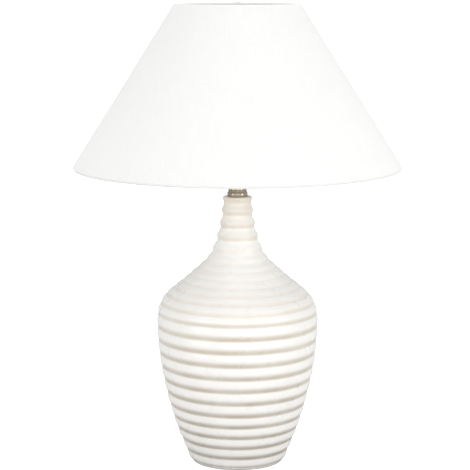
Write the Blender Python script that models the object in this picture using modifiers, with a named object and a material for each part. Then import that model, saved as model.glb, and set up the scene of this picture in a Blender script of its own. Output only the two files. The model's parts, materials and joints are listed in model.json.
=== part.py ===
"""Table lamp: a ribbed ceramic body on a felt ring, a threaded rod with its nuts, an E27
lampholder with a push-through switch, a bulb, and a conical fabric shade on a wire carrier.

Metres, +Z up, with the origin on the table under the middle of the foot. +Y is the back.
"""
import bmesh
import bpy
from math import cos, hypot, log, pi, sin, sqrt, tan

MM = 0.001
CLEARANCE = 0.3 * MM          # gap between pieces that touch

# Ceramic body
BODY_HEIGHT = 368.0 * MM
FOOT_RADIUS = 66.0 * MM
BELLY_RADIUS = 111.4 * MM
BELLY_HEIGHT = 190.0 * MM
MOUTH_RADIUS = 20.5 * MM
WALL = 7.0 * MM
MOUTH_BORE_RADIUS = 9.5 * MM
MOUTH_LIP_DEPTH = 12.0 * MM
MOUTH_ROUNDING = 2.0 * MM
FLOOR_THICKNESS = 8.0 * MM
RECESS_DEPTH = 18.5 * MM      # hollow under the floor, inside the foot ring
RECESS_RADIUS = 50.0 * MM
RIB_DEPTH_BODY = 1.6 * MM
RIB_DEPTH_NECK = 2.5 * MM
RIB_SHARPNESS_NECK = 2.3      # over 1, the ribs are narrow collars with wide hollows between them
RIB_CREST = 0.57              # where a rib stands out most, as a share of it from its top
# Whole ribs from the mouth down, with each zone's spacing beside the others'
RIB_ZONES = ((4, 1.06), (8, 0.88), (7, 1.12), (5, 1.04))
MOUTH_PHASE = 0.47            # the band at the mouth is the lower part of a rib, from here
RIB_POINTS = (0.0, 0.3, 0.46, 0.62)
# The body's line: (share of the height, share of the change in radius)
FLANK_LINE = ((0.305, 0.491), (0.658, 0.855))
SHOULDER_LINE = ((0.202, 0.919), (0.399, 0.495), (0.528, 0.233), (0.618, 0.138), (0.809, 0.036))
BODY_SEGMENTS = 32
INSIDE_STEPS = 10             # stretches of its plain inner line

# Felt ring under the foot
FELT_THICKNESS = 1.5 * MM
FELT_INSET = 3.0 * MM
FELT_WIDTH = 10.0 * MM

# Rod through the body, with its clamping pieces
ROD_RADIUS = 5.0 * MM
ROD_BORE_RADIUS = 3.7 * MM
ROD_FIT = 0.3 * MM            # play round the rod in each piece that it passes through
ROD_TAIL = 1.5 * MM           # rod showing below the bottom nut
CLAMP_PLATE_RADIUS = 34.0 * MM
CLAMP_PLATE_THICKNESS = 2.0 * MM
LOCK_WASHER_RADIUS = 9.5 * MM
LOCK_WASHER_THICKNESS = 1.0 * MM
LOCK_WASHER_TEETH = 8
LOCK_WASHER_NOTCH = 1.2 * MM
NUT_ACROSS_FLATS = 14.0 * MM
NUT_HEIGHT = 5.0 * MM
MOUTH_WASHER_RADIUS = 12.2 * MM
MOUTH_WASHER_THICKNESS = 1.0 * MM

# Cord bush in the back of the foot ring
BUSH_BORE_RADIUS = 3.5 * MM
BUSH_RADIUS = 4.5 * MM
BUSH_HEIGHT = 10.0 * MM
BUSH_FLANGE_RADIUS = 6.3 * MM
BUSH_FLANGE_THICKNESS = 1.5 * MM
BUSH_PROUD = 1.0 * MM

# Nickel cap on the mouth
CAP_RADIUS = 14.1 * MM
CAP_NECK_RADIUS = 12.1 * MM
CAP_BAND = 4.6 * MM           # height of its straight lower band
CAP_HEIGHT = 15.5 * MM
CAP_SHEET = 1.0 * MM

# Lampholder
COLLAR_RADIUS = 8.5 * MM
COLLAR_HEIGHT = 5.0 * MM
GRUB_RADIUS = 1.5 * MM
CUP_SHOULDER = 7.0 * MM       # height of the cup's dome, over its collar
CUP_SIDE = 20.0 * MM          # height of its straight side
CUP_SHEET = 1.0 * MM
CUP_PROUD = 0.3 * MM           # how far the cup stands out past the sleeve above it
ROD_IN_CUP = 3.0 * MM
SWITCH_RISE = 6.0 * MM        # bar's axis, over the foot of the straight side
SWITCH_RADIUS = 2.5 * MM
SWITCH_KNOB_RADIUS = 3.6 * MM
SWITCH_KNOB_LENGTH = 5.0 * MM
SWITCH_TRAVEL = 3.0 * MM      # each way from the middle
SWITCH_STOP_GAP = 0.5 * MM
BLOCK_PLAY = 0.8 * MM          # between the block and the sleeve round it
BLOCK_RISE = 12.0 * MM        # block's underside, over the foot of the straight side
BLOCK_HEIGHT = 18.0 * MM
LEAF_THICKNESS = 0.5 * MM
LEAF_WIDTH = 4.0 * MM
LEAF_LENGTH = 14.0 * MM
TERMINAL_SPREAD = 10.0 * MM
TERMINAL_SHANK_RADIUS = 1.5 * MM
TERMINAL_HEAD_RADIUS = 2.8 * MM
TERMINAL_HEAD_HEIGHT = 2.0 * MM
TERMINAL_DEPTH = 7.0 * MM
SLEEVE_RADIUS = 19.2 * MM
SLEEVE_WALL = 2.0 * MM
SLEEVE_HEIGHT = 44.0 * MM
SHOULDER_RADIUS = 24.0 * MM
SHOULDER_RISE = 6.0 * MM
SHOULDER_THICKNESS = 2.0 * MM
SHELL_BORE_RADIUS = 13.7 * MM
SHELL_SHEET = 0.6 * MM
SHELL_HEIGHT = 27.0 * MM
RETAINER_WIDTH = 6.5 * MM
RETAINER_HEIGHT = 6.0 * MM
RETAINER_GRIPS = 16
RETAINER_NOTCH = 0.8 * MM
CONTACT_RISE = 3.0 * MM

# Bulb
BULB_RADIUS = 30.0 * MM
BULB_LENGTH = 108.0 * MM
BULB_SHEET = 1.0 * MM
TIP_RADIUS = 4.6 * MM
TIP_HEIGHT = 1.2 * MM
INSULATOR_RADIUS = 11.4 * MM
INSULATOR_HEIGHT = 2.6 * MM
BULB_CAP_PLAY = 0.5 * MM      # between the bulb's cap and the screw shell
BULB_CAP_SHEET = 0.7 * MM
BULB_CAP_HEIGHT = 23.0 * MM
GLASS_IN_CAP = 12.0 * MM
BULB_SWEEP_START = 0.36       # where the ball's curve ends, in quarter turns under its widest line

# Shade
SHADE_BOTTOM_RADIUS = 225.0 * MM
SHADE_TOP_RADIUS = 85.3 * MM
SHADE_HEIGHT = 221.2 * MM
SHADE_DROP = 17.0 * MM        # from the fitter ring down to the shade's lower edge
PANEL_THICKNESS = 1.0 * MM
WIRE_RADIUS = 1.8 * MM
WIRE_FROM_EDGE = 2.6 * MM     # wire's middle, up or down the slope from the panel's edge
FITTER_PLAY = 0.8 * MM
FITTER_WIDTH = 8.5 * MM
FITTER_THICKNESS = 2.0 * MM
ARM_COUNT = 3
ARM_RADIUS = 1.5 * MM
SHADE_SEGMENTS = 48

# ---------------------------------------------------------------- scene, collections, finishes
for old in list(bpy.data.objects):
    bpy.data.objects.remove(old)
parts = bpy.data.collections.new("table_lamp")
cutters = bpy.data.collections.new("cutters")
bpy.context.scene.collection.children.link(parts)
bpy.context.scene.collection.children.link(cutters)

FINISHES = {  # colour, roughness, metallic
    "glazed ceramic": ((0.87, 0.84, 0.77), 0.12, 0.0),
    "felt": ((0.62, 0.60, 0.55), 0.95, 0.0),
    "zinc steel": ((0.60, 0.61, 0.62), 0.35, 1.0),
    "nickel": ((0.62, 0.58, 0.52), 0.22, 1.0),
    "brass": ((0.78, 0.60, 0.28), 0.30, 1.0),
    "white phenolic": ((0.85, 0.84, 0.81), 0.35, 0.0),
    "black plastic": ((0.03, 0.03, 0.03), 0.40, 0.0),
    "white plastic": ((0.80, 0.79, 0.76), 0.40, 0.0),
    "white enamel": ((0.82, 0.82, 0.80), 0.45, 0.0),
    "linen": ((0.90, 0.89, 0.86), 0.90, 0.0),
    "opal glass": ((0.92, 0.92, 0.90), 0.15, 0.0),
    "black glass": ((0.02, 0.02, 0.03), 0.15, 0.0),
}


def finish(obj, name):
    """Give the object a material of its own in the named finish."""
    colour, roughness, metallic = FINISHES[name]
    material = bpy.data.materials.new(obj.name + " " + name)
    material.use_nodes = True
    shader = material.node_tree.nodes["Principled BSDF"]
    shader.inputs["Base Color"].default_value = (*colour, 1.0)
    shader.inputs["Roughness"].default_value = roughness
    shader.inputs["Metallic"].default_value = metallic
    obj.data.materials.append(material)


def new_object(name, data, finish_name=None, collection=parts):
    """Link the data in the scene as a named object."""
    obj = bpy.data.objects.new(name, data)
    collection.objects.link(obj)
    if finish_name:
        finish(obj, finish_name)
    return obj


# ---------------------------------------------------------------- modelling helpers
def turned(name, outline, segments, finish_name, rotation=(0.0, 0.0, 0.0), location=(0.0, 0.0, 0.0)):
    """Turn an outline of (radius, height) points, which runs down the outside, round Z."""
    mesh = bpy.data.meshes.new(name)
    count = len(outline)
    edges = [(i, i + 1) for i in range(count - 1)]
    if outline[0][0] > 0.0 and outline[-1][0] > 0.0:
        edges.append((count - 1, 0))
    mesh.from_pydata([(radius, 0.0, height) for radius, height in outline], edges, [])
    obj = new_object(name, mesh, finish_name)
    screw = obj.modifiers.new("turn", "SCREW")
    screw.steps = segments
    screw.render_steps = segments
    screw.use_merge_vertices = True
    screw.merge_threshold = 0.00001
    obj.rotation_euler = rotation
    obj.location = location
    return obj


def tube_outline(inner, outer, bottom, top):
    """Outline of a plain ring or tube."""
    return [(outer, top), (outer, bottom), (inner, bottom), (inner, top)]


def rod_outline(radius, bottom, top):
    """Outline of a plain solid rod."""
    return [(0.0, top), (radius, top), (radius, bottom), (0.0, bottom)]


def cutter(name, radius, length, location, rotation=(0.0, 0.0, 0.0), sides=24):
    """A cylinder, along Z before it is turned, that cuts a hole."""
    mesh = bpy.data.meshes.new(name)
    form = bmesh.new()
    bmesh.ops.create_cone(form, cap_ends=True, segments=sides, radius1=radius, radius2=radius, depth=length)
    form.to_mesh(mesh)
    form.free()
    obj = new_object(name, mesh, collection=cutters)
    obj.location = location
    obj.rotation_euler = rotation
    obj.hide_render = True
    obj.display_type = "WIRE"
    return obj


def cut(obj, tool):
    """Take the tool's shape out of the object."""
    boolean = obj.modifiers.new("cut " + tool.name, "BOOLEAN")
    boolean.operation = "DIFFERENCE"
    boolean.solver = "EXACT"
    boolean.object = tool


def hex_nut(name, bottom):
    """A hexagon nut on the rod, with its lower face at the given height."""
    mesh = bpy.data.meshes.new(name)
    form = bmesh.new()
    corner = NUT_ACROSS_FLATS / 2 / cos(pi / 6)
    bmesh.ops.create_cone(form, cap_ends=True, segments=6, radius1=corner, radius2=corner, depth=NUT_HEIGHT)
    form.to_mesh(mesh)
    form.free()
    obj = new_object(name, mesh, "zinc steel")
    obj.location.z = bottom + NUT_HEIGHT / 2
    cut(obj, cutter(name + "_hole", ROD_RADIUS + ROD_FIT, NUT_HEIGHT * 2, obj.location))
    return obj


def wire(name, points, radius, finish_name, cyclic=False):
    """A round wire along the points."""
    curve = bpy.data.curves.new(name, "CURVE")
    curve.dimensions = "3D"
    curve.bevel_depth = radius
    curve.bevel_resolution = 2
    curve.use_fill_caps = not cyclic
    spline = curve.splines.new("POLY")
    spline.points.add(len(points) - 1)
    for point, place in zip(spline.points, points):
        point.co = (*place, 1.0)
    spline.use_cyclic_u = cyclic
    return new_object(name, curve, finish_name)


def flat_shape(name, outline, thickness, finish_name, location, rotation=(0.0, 0.0, 0.0)):
    """A flat outline with a thickness, both ways from its plane."""
    curve = bpy.data.curves.new(name, "CURVE")
    curve.dimensions = "2D"
    curve.fill_mode = "BOTH"
    curve.extrude = thickness / 2
    spline = curve.splines.new("POLY")
    spline.points.add(len(outline) - 1)
    for point, (x, y) in zip(spline.points, outline):
        point.co = (x, y, 0.0, 1.0)
    spline.use_cyclic_u = True
    obj = new_object(name, curve, finish_name)
    obj.location = location
    obj.rotation_euler = rotation
    return obj


# ---------------------------------------------------------------- the body's line and its ribs
def body_stations():
    """Points (height over the foot, radius over the rib crests) that the line passes through."""
    stations = [(0.0, FOOT_RADIUS)]
    for rise, swell in FLANK_LINE:
        stations.append((rise * BELLY_HEIGHT, FOOT_RADIUS + swell * (BELLY_RADIUS - FOOT_RADIUS)))
    stations.append((BELLY_HEIGHT, BELLY_RADIUS))
    for rise, swell in SHOULDER_LINE:
        height = BELLY_HEIGHT + rise * (BODY_HEIGHT - BELLY_HEIGHT)
        stations.append((height, MOUTH_RADIUS + swell * (BELLY_RADIUS - MOUTH_RADIUS)))
    stations.append((BODY_HEIGHT, MOUTH_RADIUS))
    return stations


STATIONS = body_stations()


def station_slope(i):
    """Slope of the line at a station, from its neighbours."""
    low = STATIONS[max(i - 1, 0)]
    high = STATIONS[min(i + 1, len(STATIONS) - 1)]
    return (high[1] - low[1]) / (high[0] - low[0])


def body_radius(height):
    """Radius of the crest line at a height over the foot: a smooth curve through the stations."""
    i = 0
    while i < len(STATIONS) - 2 and height > STATIONS[i + 1][0]:
        i += 1
    (low, start), (high, end) = STATIONS[i], STATIONS[i + 1]
    span = high - low
    t = (height - low) / span
    start_pull = station_slope(i) * span
    end_pull = station_slope(i + 1) * span
    return (
        (2 * t**3 - 3 * t**2 + 1) * start
        + (t**3 - 2 * t**2 + t) * start_pull
        + (3 * t**2 - 2 * t**3) * end
        + (t**3 - t**2) * end_pull
    )


def under_crest(radius, phase):
    """How far the surface lies under the crest line: nothing on a rib's crest, most in a groove."""
    share = (3 * MOUTH_RADIUS - radius) / (2 * MOUTH_RADIUS)
    share = min(max(share, 0.0), 1.0)
    depth = RIB_DEPTH_BODY + (RIB_DEPTH_NECK - RIB_DEPTH_BODY) * share
    sharpness = 1 + (RIB_SHARPNESS_NECK - 1) * share
    power = log(0.5) / log(RIB_CREST)
    swell = abs(sin(pi * phase**power)) ** sharpness
    return depth * (1 - swell)


def walk_line(steps=600):
    """Heights down the line from the mouth, with the distance walked to each."""
    walked = [(0.0, BODY_HEIGHT)]
    distance = 0.0
    last = BODY_HEIGHT
    for i in range(1, steps + 1):
        height = BODY_HEIGHT * (1 - i / steps)
        distance += hypot(last - height, body_radius(last) - body_radius(height))
        walked.append((distance, height))
        last = height
    return walked


def ribbed_outline(points_in_rib):
    """The ribbed outer line as (radius, height over the foot), from the mouth down."""
    walked = walk_line()
    mouth_band = 1 - MOUTH_PHASE
    weight = mouth_band + sum(count * spacing for count, spacing in RIB_ZONES)
    unit = walked[-1][0] / weight
    places = [(0.0, MOUTH_PHASE)]
    for phase in points_in_rib:
        if (phase - MOUTH_PHASE) * unit > MOUTH_ROUNDING:
            places.append(((phase - MOUTH_PHASE) * unit, phase))
    start = mouth_band * unit
    for count, spacing in RIB_ZONES:
        for _ in range(count):
            places += [(start + phase * spacing * unit, phase) for phase in points_in_rib]
            start += spacing * unit
    places.append((walked[-1][0], 1.0))
    outline = []
    i = 0
    for distance, phase in places:
        while i < len(walked) - 2 and walked[i + 1][0] < distance:
            i += 1
        (before, high), (after, low) = walked[i], walked[i + 1]
        height = high + (low - high) * (distance - before) / (after - before)
        radius = body_radius(height)
        outline.append((radius - under_crest(radius, phase), height))
    return outline


# ---------------------------------------------------------------- sizes that follow from others
cup_radius = SLEEVE_RADIUS + CUP_PROUD
block_radius = SLEEVE_RADIUS - SLEEVE_WALL - BLOCK_PLAY
body_bottom = FELT_THICKNESS + CLEARANCE
floor_under = body_bottom + RECESS_DEPTH
floor_top = floor_under + FLOOR_THICKNESS
body_top = body_bottom + BODY_HEIGHT
rod_hole = ROD_RADIUS + ROD_FIT
plate_top = floor_under - CLEARANCE
plate_bottom = plate_top - CLAMP_PLATE_THICKNESS
lock_washer_top = plate_bottom - CLEARANCE
bottom_nut_bottom = lock_washer_top - LOCK_WASHER_THICKNESS - CLEARANCE - NUT_HEIGHT
rod_bottom = bottom_nut_bottom - ROD_TAIL
cap_bottom = body_top + CLEARANCE
cap_top = cap_bottom + CAP_HEIGHT
collar_bottom = cap_top + CLEARANCE
collar_top = collar_bottom + COLLAR_HEIGHT
cup_floor = collar_top + CUP_SHEET
side_foot = collar_top + CUP_SHOULDER
side_top = side_foot + CUP_SIDE
rod_top = cup_floor + ROD_IN_CUP
switch_height = side_foot + SWITCH_RISE
block_bottom = side_foot + BLOCK_RISE
block_top = block_bottom + BLOCK_HEIGHT
sleeve_bottom = side_top + CLEARANCE
sleeve_top = sleeve_bottom + SLEEVE_HEIGHT
shoulder_top = sleeve_bottom + SHOULDER_RISE + SHOULDER_THICKNESS
fitter_bottom = shoulder_top + CLEARANCE
fitter_middle = fitter_bottom + FITTER_THICKNESS / 2
fitter_top = fitter_bottom + FITTER_THICKNESS
retainer_bottom = fitter_top + CLEARANCE
contact_bottom = block_top + CLEARANCE
bulb_bottom = contact_bottom + CONTACT_RISE + CLEARANCE
bulb_top = bulb_bottom + BULB_LENGTH
shade_bottom = fitter_middle - SHADE_DROP
shade_top = shade_bottom + SHADE_HEIGHT


def arc(centre, radii, start, end, steps):
    """Points on an ellipse's arc, between two angles in quarter turns."""
    points = []
    for i in range(steps + 1):
        angle = (start + (end - start) * i / steps) * pi / 2
        points.append((centre[0] + radii[0] * cos(angle), centre[1] + radii[1] * sin(angle)))
    return points


# ---------------------------------------------------------------- ceramic body and its felt
def make_body():
    """The hollow body: ribbed outside, plain inside, with a recess under its floor."""
    outer = [(radius, body_bottom + height) for radius, height in ribbed_outline(RIB_POINTS)]
    lip_bottom = BODY_HEIGHT - MOUTH_LIP_DEPTH
    inside = []
    inside_foot = floor_top - body_bottom
    for i in range(INSIDE_STEPS + 1):
        height = inside_foot + (lip_bottom - inside_foot) * i / INSIDE_STEPS
        inside.append((body_radius(height) - RIB_DEPTH_BODY - WALL, body_bottom + height))
    foot = [
        (RECESS_RADIUS, body_bottom),
        (RECESS_RADIUS, floor_under),
        (rod_hole, floor_under),
        (rod_hole, floor_top),
    ]
    mouth = [
        (MOUTH_BORE_RADIUS, body_bottom + lip_bottom),
        (MOUTH_BORE_RADIUS, body_top),
        (outer[0][0] - MOUTH_ROUNDING, body_top),
    ]
    outer[0] = (outer[0][0], body_top - MOUTH_ROUNDING)
    body = turned("ceramic_body", outer + foot + inside + mouth, BODY_SEGMENTS, "glazed ceramic")
    length = BELLY_RADIUS - RECESS_RADIUS
    place = (0.0, RECESS_RADIUS + length / 2 - BUSH_RADIUS, bush_height)
    cut(body, cutter("cord_hole", BUSH_RADIUS + CLEARANCE, length, place, (pi / 2, 0.0, 0.0)))


def make_bush():
    """Plastic bush pushed out through the foot ring from the recess, along +Y."""
    seat = sqrt(RECESS_RADIUS**2 - BUSH_FLANGE_RADIUS**2) * cos(pi / BODY_SEGMENTS) - CLEARANCE
    end = body_radius(BUSH_HEIGHT + BUSH_RADIUS) + BUSH_PROUD
    outline = [
        (BUSH_RADIUS, end),
        (BUSH_RADIUS, seat),
        (BUSH_FLANGE_RADIUS, seat),
        (BUSH_FLANGE_RADIUS, seat - BUSH_FLANGE_THICKNESS),
        (BUSH_BORE_RADIUS, seat - BUSH_FLANGE_THICKNESS),
        (BUSH_BORE_RADIUS, end),
    ]
    turned("cord_bush", outline, 20, "white plastic", (-pi / 2, 0.0, 0.0), (0.0, 0.0, bush_height))


bush_height = body_bottom + BUSH_HEIGHT
make_body()
make_bush()
felt_radius = FOOT_RADIUS - FELT_INSET
turned("base_felt", tube_outline(felt_radius - FELT_WIDTH, felt_radius, 0.0, FELT_THICKNESS),
       BODY_SEGMENTS, "felt")


# ---------------------------------------------------------------- rod, nuts and washers
def notched_ring(name, inner, outer, notch, count, thickness, bottom, finish_name):
    """A flat ring with rounded notches round its outer edge."""
    curve = bpy.data.curves.new(name, "CURVE")
    curve.dimensions = "2D"
    curve.fill_mode = "BOTH"
    curve.extrude = thickness / 2
    around = count * 4
    for hole in (False, True):
        spline = curve.splines.new("POLY")
        spline.points.add(around - 1)
        for i, point in enumerate(spline.points):
            angle = 2 * pi * i / around
            radius = inner if hole else outer - notch * (1 - cos(count * angle)) / 2
            point.co = (radius * cos(angle), radius * sin(angle), 0.0, 1.0)
        spline.use_cyclic_u = True
    obj = new_object(name, curve, finish_name)
    obj.location.z = bottom + thickness / 2


turned("threaded_rod", tube_outline(ROD_BORE_RADIUS, ROD_RADIUS, rod_bottom, rod_top), 16, "zinc steel")
turned("clamp_plate", tube_outline(rod_hole, CLAMP_PLATE_RADIUS, plate_bottom, plate_top), 24, "zinc steel")
notched_ring("lock_washer", rod_hole, LOCK_WASHER_RADIUS, LOCK_WASHER_NOTCH, LOCK_WASHER_TEETH,
             LOCK_WASHER_THICKNESS, lock_washer_top - LOCK_WASHER_THICKNESS, "zinc steel")
hex_nut("bottom_nut", bottom_nut_bottom)
washer_top = cap_bottom + MOUTH_WASHER_THICKNESS
turned("mouth_washer", tube_outline(rod_hole, MOUTH_WASHER_RADIUS, cap_bottom, washer_top), 24, "zinc steel")
hex_nut("mouth_nut", washer_top + CLEARANCE)


# ---------------------------------------------------------------- nickel cap and lampholder
def make_cap():
    """Stepped cap over the mouth: a straight band, a shoulder, a narrow waist, a bead and a neck."""
    band_top = cap_bottom + CAP_BAND
    slope = CAP_RADIUS - CAP_NECK_RADIUS           # the shoulder and the bead are shares of this step
    outer = [
        (CAP_NECK_RADIUS - CAP_SHEET, cap_top),
        (CAP_NECK_RADIUS, cap_top - CAP_SHEET),
        (CAP_NECK_RADIUS, band_top + 2.4 * slope),
        (CAP_NECK_RADIUS + 0.4 * slope, band_top + 2.0 * slope),
        (CAP_NECK_RADIUS + 0.3 * slope, band_top + 1.6 * slope),
    ]
    outer += [(CAP_NECK_RADIUS + 0.6 * slope, band_top + slope), (CAP_RADIUS, band_top)]
    inner = [
        (CAP_RADIUS - CAP_SHEET, band_top),
        (CAP_NECK_RADIUS - CAP_SHEET, band_top + 1.6 * slope),
        (CAP_NECK_RADIUS - CAP_SHEET, cap_top - CAP_SHEET),
        (rod_hole, cap_top - CAP_SHEET),
        (rod_hole, cap_top),
    ]
    turned("neck_cap", outer + [(CAP_RADIUS, cap_bottom), (CAP_RADIUS - CAP_SHEET, cap_bottom)] + inner,
           24, "nickel")


def make_holder_cup():
    """The lampholder's lower cup: a collar on the rod, a dome and a straight side."""
    dome = (cup_radius - COLLAR_RADIUS, CUP_SHOULDER)
    outer = [(cup_radius, side_top)] + arc((COLLAR_RADIUS, side_foot), dome, 0, -1, 4)
    hollow = (dome[0], CUP_SHOULDER - CUP_SHEET)
    inner = arc((COLLAR_RADIUS - CUP_SHEET, side_foot), hollow, -1, 0, 4)
    outline = outer + [(COLLAR_RADIUS, collar_bottom), (rod_hole, collar_bottom), (rod_hole, cup_floor)]
    cup = turned("holder_cup", outline + inner + [(cup_radius - CUP_SHEET, side_top)], 28, "nickel")
    along_x = (0.0, pi / 2, 0.0)
    switch_place = (0.0, 0.0, switch_height)
    cut(cup, cutter("switch_holes", SWITCH_RADIUS + CLEARANCE, cup_radius * 3, switch_place, along_x))
    grub_place = (0.0, COLLAR_RADIUS, collar_bottom + COLLAR_HEIGHT / 2)
    along_y = (pi / 2, 0.0, 0.0)
    cut(cup, cutter("grub_hole", GRUB_RADIUS + CLEARANCE, COLLAR_RADIUS, grub_place, along_y, 12))
    outline = rod_outline(GRUB_RADIUS, rod_hole, COLLAR_RADIUS)
    turned("grub_screw", outline, 12, "zinc steel", (-pi / 2, 0.0, 0.0), (0.0, 0.0, grub_place[2]))


def make_switch():
    """Push-through bar along X, with a knob on each end, and the leaf spring above it."""
    knob = cup_radius + SWITCH_STOP_GAP + SWITCH_TRAVEL
    end = knob + SWITCH_KNOB_LENGTH
    outline = [
        (0.0, end),
        (SWITCH_KNOB_RADIUS, end),
        (SWITCH_KNOB_RADIUS, knob),
        (SWITCH_RADIUS, knob),
        (SWITCH_RADIUS, -knob),
        (SWITCH_KNOB_RADIUS, -knob),
        (SWITCH_KNOB_RADIUS, -end),
        (0.0, -end),
    ]
    turned("switch_bar", outline, 16, "black plastic", (0.0, pi / 2, 0.0), (0.0, 0.0, switch_height))
    leaf = [(-LEAF_LENGTH / 2, -LEAF_WIDTH / 2), (LEAF_LENGTH / 2, -LEAF_WIDTH / 2),
            (LEAF_LENGTH / 2, LEAF_WIDTH / 2), (-LEAF_LENGTH / 2, LEAF_WIDTH / 2)]
    leaf_height = block_bottom - CLEARANCE - LEAF_THICKNESS / 2
    flat_shape("switch_leaf", leaf, LEAF_THICKNESS, "brass", (0.0, 0.0, leaf_height))


def make_block():
    """Insulating block with its two terminal screws and two contacts."""
    block = turned("contact_block", rod_outline(block_radius, block_bottom, block_top), 24, "white phenolic")
    head_top = block_bottom - CLEARANCE
    for name, side in (("terminal_screw_live", 1), ("terminal_screw_neutral", -1)):
        place = (0.0, side * TERMINAL_SPREAD, block_bottom)
        hole_depth = 2 * (TERMINAL_DEPTH + CLEARANCE)
        cut(block, cutter(name + "_hole", TERMINAL_SHANK_RADIUS + CLEARANCE, hole_depth, place, sides=12))
        head_bottom = head_top - TERMINAL_HEAD_HEIGHT
        outline = [
            (0.0, block_bottom + TERMINAL_DEPTH),
            (TERMINAL_SHANK_RADIUS, block_bottom + TERMINAL_DEPTH),
            (TERMINAL_SHANK_RADIUS, head_top),
            (TERMINAL_HEAD_RADIUS, head_top),
            (TERMINAL_HEAD_RADIUS, head_bottom),
            (0.0, head_bottom),
        ]
        turned(name, outline, 12, "brass", location=(0.0, side * TERMINAL_SPREAD, 0.0))
    sheet = LEAF_THICKNESS
    half = TIP_RADIUS / 3
    tongue = [
        (-4 * half, 0.0),
        (-2 * half, 0.0),
        (-half, CONTACT_RISE - sheet),
        (half, CONTACT_RISE - sheet),
        (half, CONTACT_RISE),
        (-half - sheet / 2, CONTACT_RISE),
        (-2 * half - sheet / 2, sheet),
        (-4 * half, sheet),
    ]
    flat_shape("centre_contact", tongue, LEAF_WIDTH, "brass", (0.0, 0.0, contact_bottom), (pi / 2, 0.0, 0.0))
    lug_inner = SHELL_BORE_RADIUS + SHELL_SHEET + CLEARANCE
    lug = [(lug_inner, -LEAF_WIDTH / 2), (lug_inner + sheet, -LEAF_WIDTH / 2),
           (lug_inner + sheet, LEAF_WIDTH / 2), (lug_inner, LEAF_WIDTH / 2)]
    lug_height = LEAF_WIDTH * 1.5
    flat_shape("shell_contact", lug, lug_height, "brass", (0.0, 0.0, contact_bottom + lug_height / 2))


def make_sleeve():
    """Outer sleeve with the shoulder that the shade rests on and a lip round the bulb's way in."""
    bore = SLEEVE_RADIUS - SLEEVE_WALL
    lip = (SHELL_BORE_RADIUS + bore) / 2
    outline = [
        (SLEEVE_RADIUS, sleeve_top),
        (SLEEVE_RADIUS, shoulder_top),
        (SHOULDER_RADIUS, shoulder_top),
        (SHOULDER_RADIUS, shoulder_top - SHOULDER_THICKNESS),
        (SLEEVE_RADIUS, shoulder_top - SHOULDER_THICKNESS),
        (SLEEVE_RADIUS, sleeve_bottom),
        (bore, sleeve_bottom),
        (bore, sleeve_top - SLEEVE_WALL),
        (lip, sleeve_top - SLEEVE_WALL),
        (lip, sleeve_top),
    ]
    turned("holder_sleeve", outline, 28, "white phenolic")


make_cap()
make_holder_cup()
make_switch()
make_block()
make_sleeve()
shell_outer = SHELL_BORE_RADIUS + SHELL_SHEET
shell_top = contact_bottom + SHELL_HEIGHT
turned("screw_shell", tube_outline(SHELL_BORE_RADIUS, shell_outer, contact_bottom, shell_top), 24, "brass")
retainer_bore = SLEEVE_RADIUS + CLEARANCE
notched_ring("retaining_ring", retainer_bore, retainer_bore + RETAINER_WIDTH, RETAINER_NOTCH, RETAINER_GRIPS,
             RETAINER_HEIGHT, retainer_bottom, "white phenolic")


# ---------------------------------------------------------------- bulb
def make_bulb():
    """Tip contact, insulator, screw cap and an opal glass that is open at its neck."""
    turned("bulb_tip", rod_outline(TIP_RADIUS, bulb_bottom, bulb_bottom + TIP_HEIGHT), 16, "zinc steel")
    insulator_bottom = bulb_bottom + TIP_HEIGHT + CLEARANCE
    insulator_top = insulator_bottom + INSULATOR_HEIGHT
    outline = [(0.0, insulator_top), (INSULATOR_RADIUS, insulator_top), (TIP_RADIUS, insulator_bottom),
               (0.0, insulator_bottom)]
    turned("bulb_insulator", outline, 20, "black glass")
    cap_start = insulator_top + CLEARANCE
    cap_end = cap_start + BULB_CAP_HEIGHT
    cap_radius = SHELL_BORE_RADIUS - BULB_CAP_PLAY
    cap_bore = cap_radius - BULB_CAP_SHEET
    turned("bulb_cap", tube_outline(cap_bore, cap_radius, cap_start, cap_end), 24, "nickel")
    neck = cap_bore - CLEARANCE
    ball = bulb_top - BULB_RADIUS
    neck_bottom = cap_end - GLASS_IN_CAP
    outer = bulb_line(BULB_RADIUS, neck, ball, cap_end)
    inner = bulb_line(BULB_RADIUS - BULB_SHEET, neck - BULB_SHEET, ball, cap_end)
    inner.reverse()
    outline = outer + [(neck, neck_bottom), (neck - BULB_SHEET, neck_bottom)] + inner
    turned("bulb_glass", outline, 20, "opal glass")


def bulb_line(radius, neck, ball, cap_end):
    """From the crown down over the ball, then in an easy sweep to the neck."""
    points = [(0.0, ball + radius)] + arc((0.0, ball), (radius, radius), 1, -BULB_SWEEP_START, 10)[1:]
    start_radius, start_height = points[-1]
    drop = start_height - cap_end
    pull = -tan(BULB_SWEEP_START * pi / 2) * drop
    steps = 5
    for i in range(1, steps + 1):
        t = i / steps
        swept = (2 * t**3 - 3 * t**2 + 1) * start_radius + (t**3 - 2 * t**2 + t) * pull
        points.append((swept + (3 * t**2 - 2 * t**3) * neck, start_height - drop * t))
    return points


make_bulb()


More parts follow.
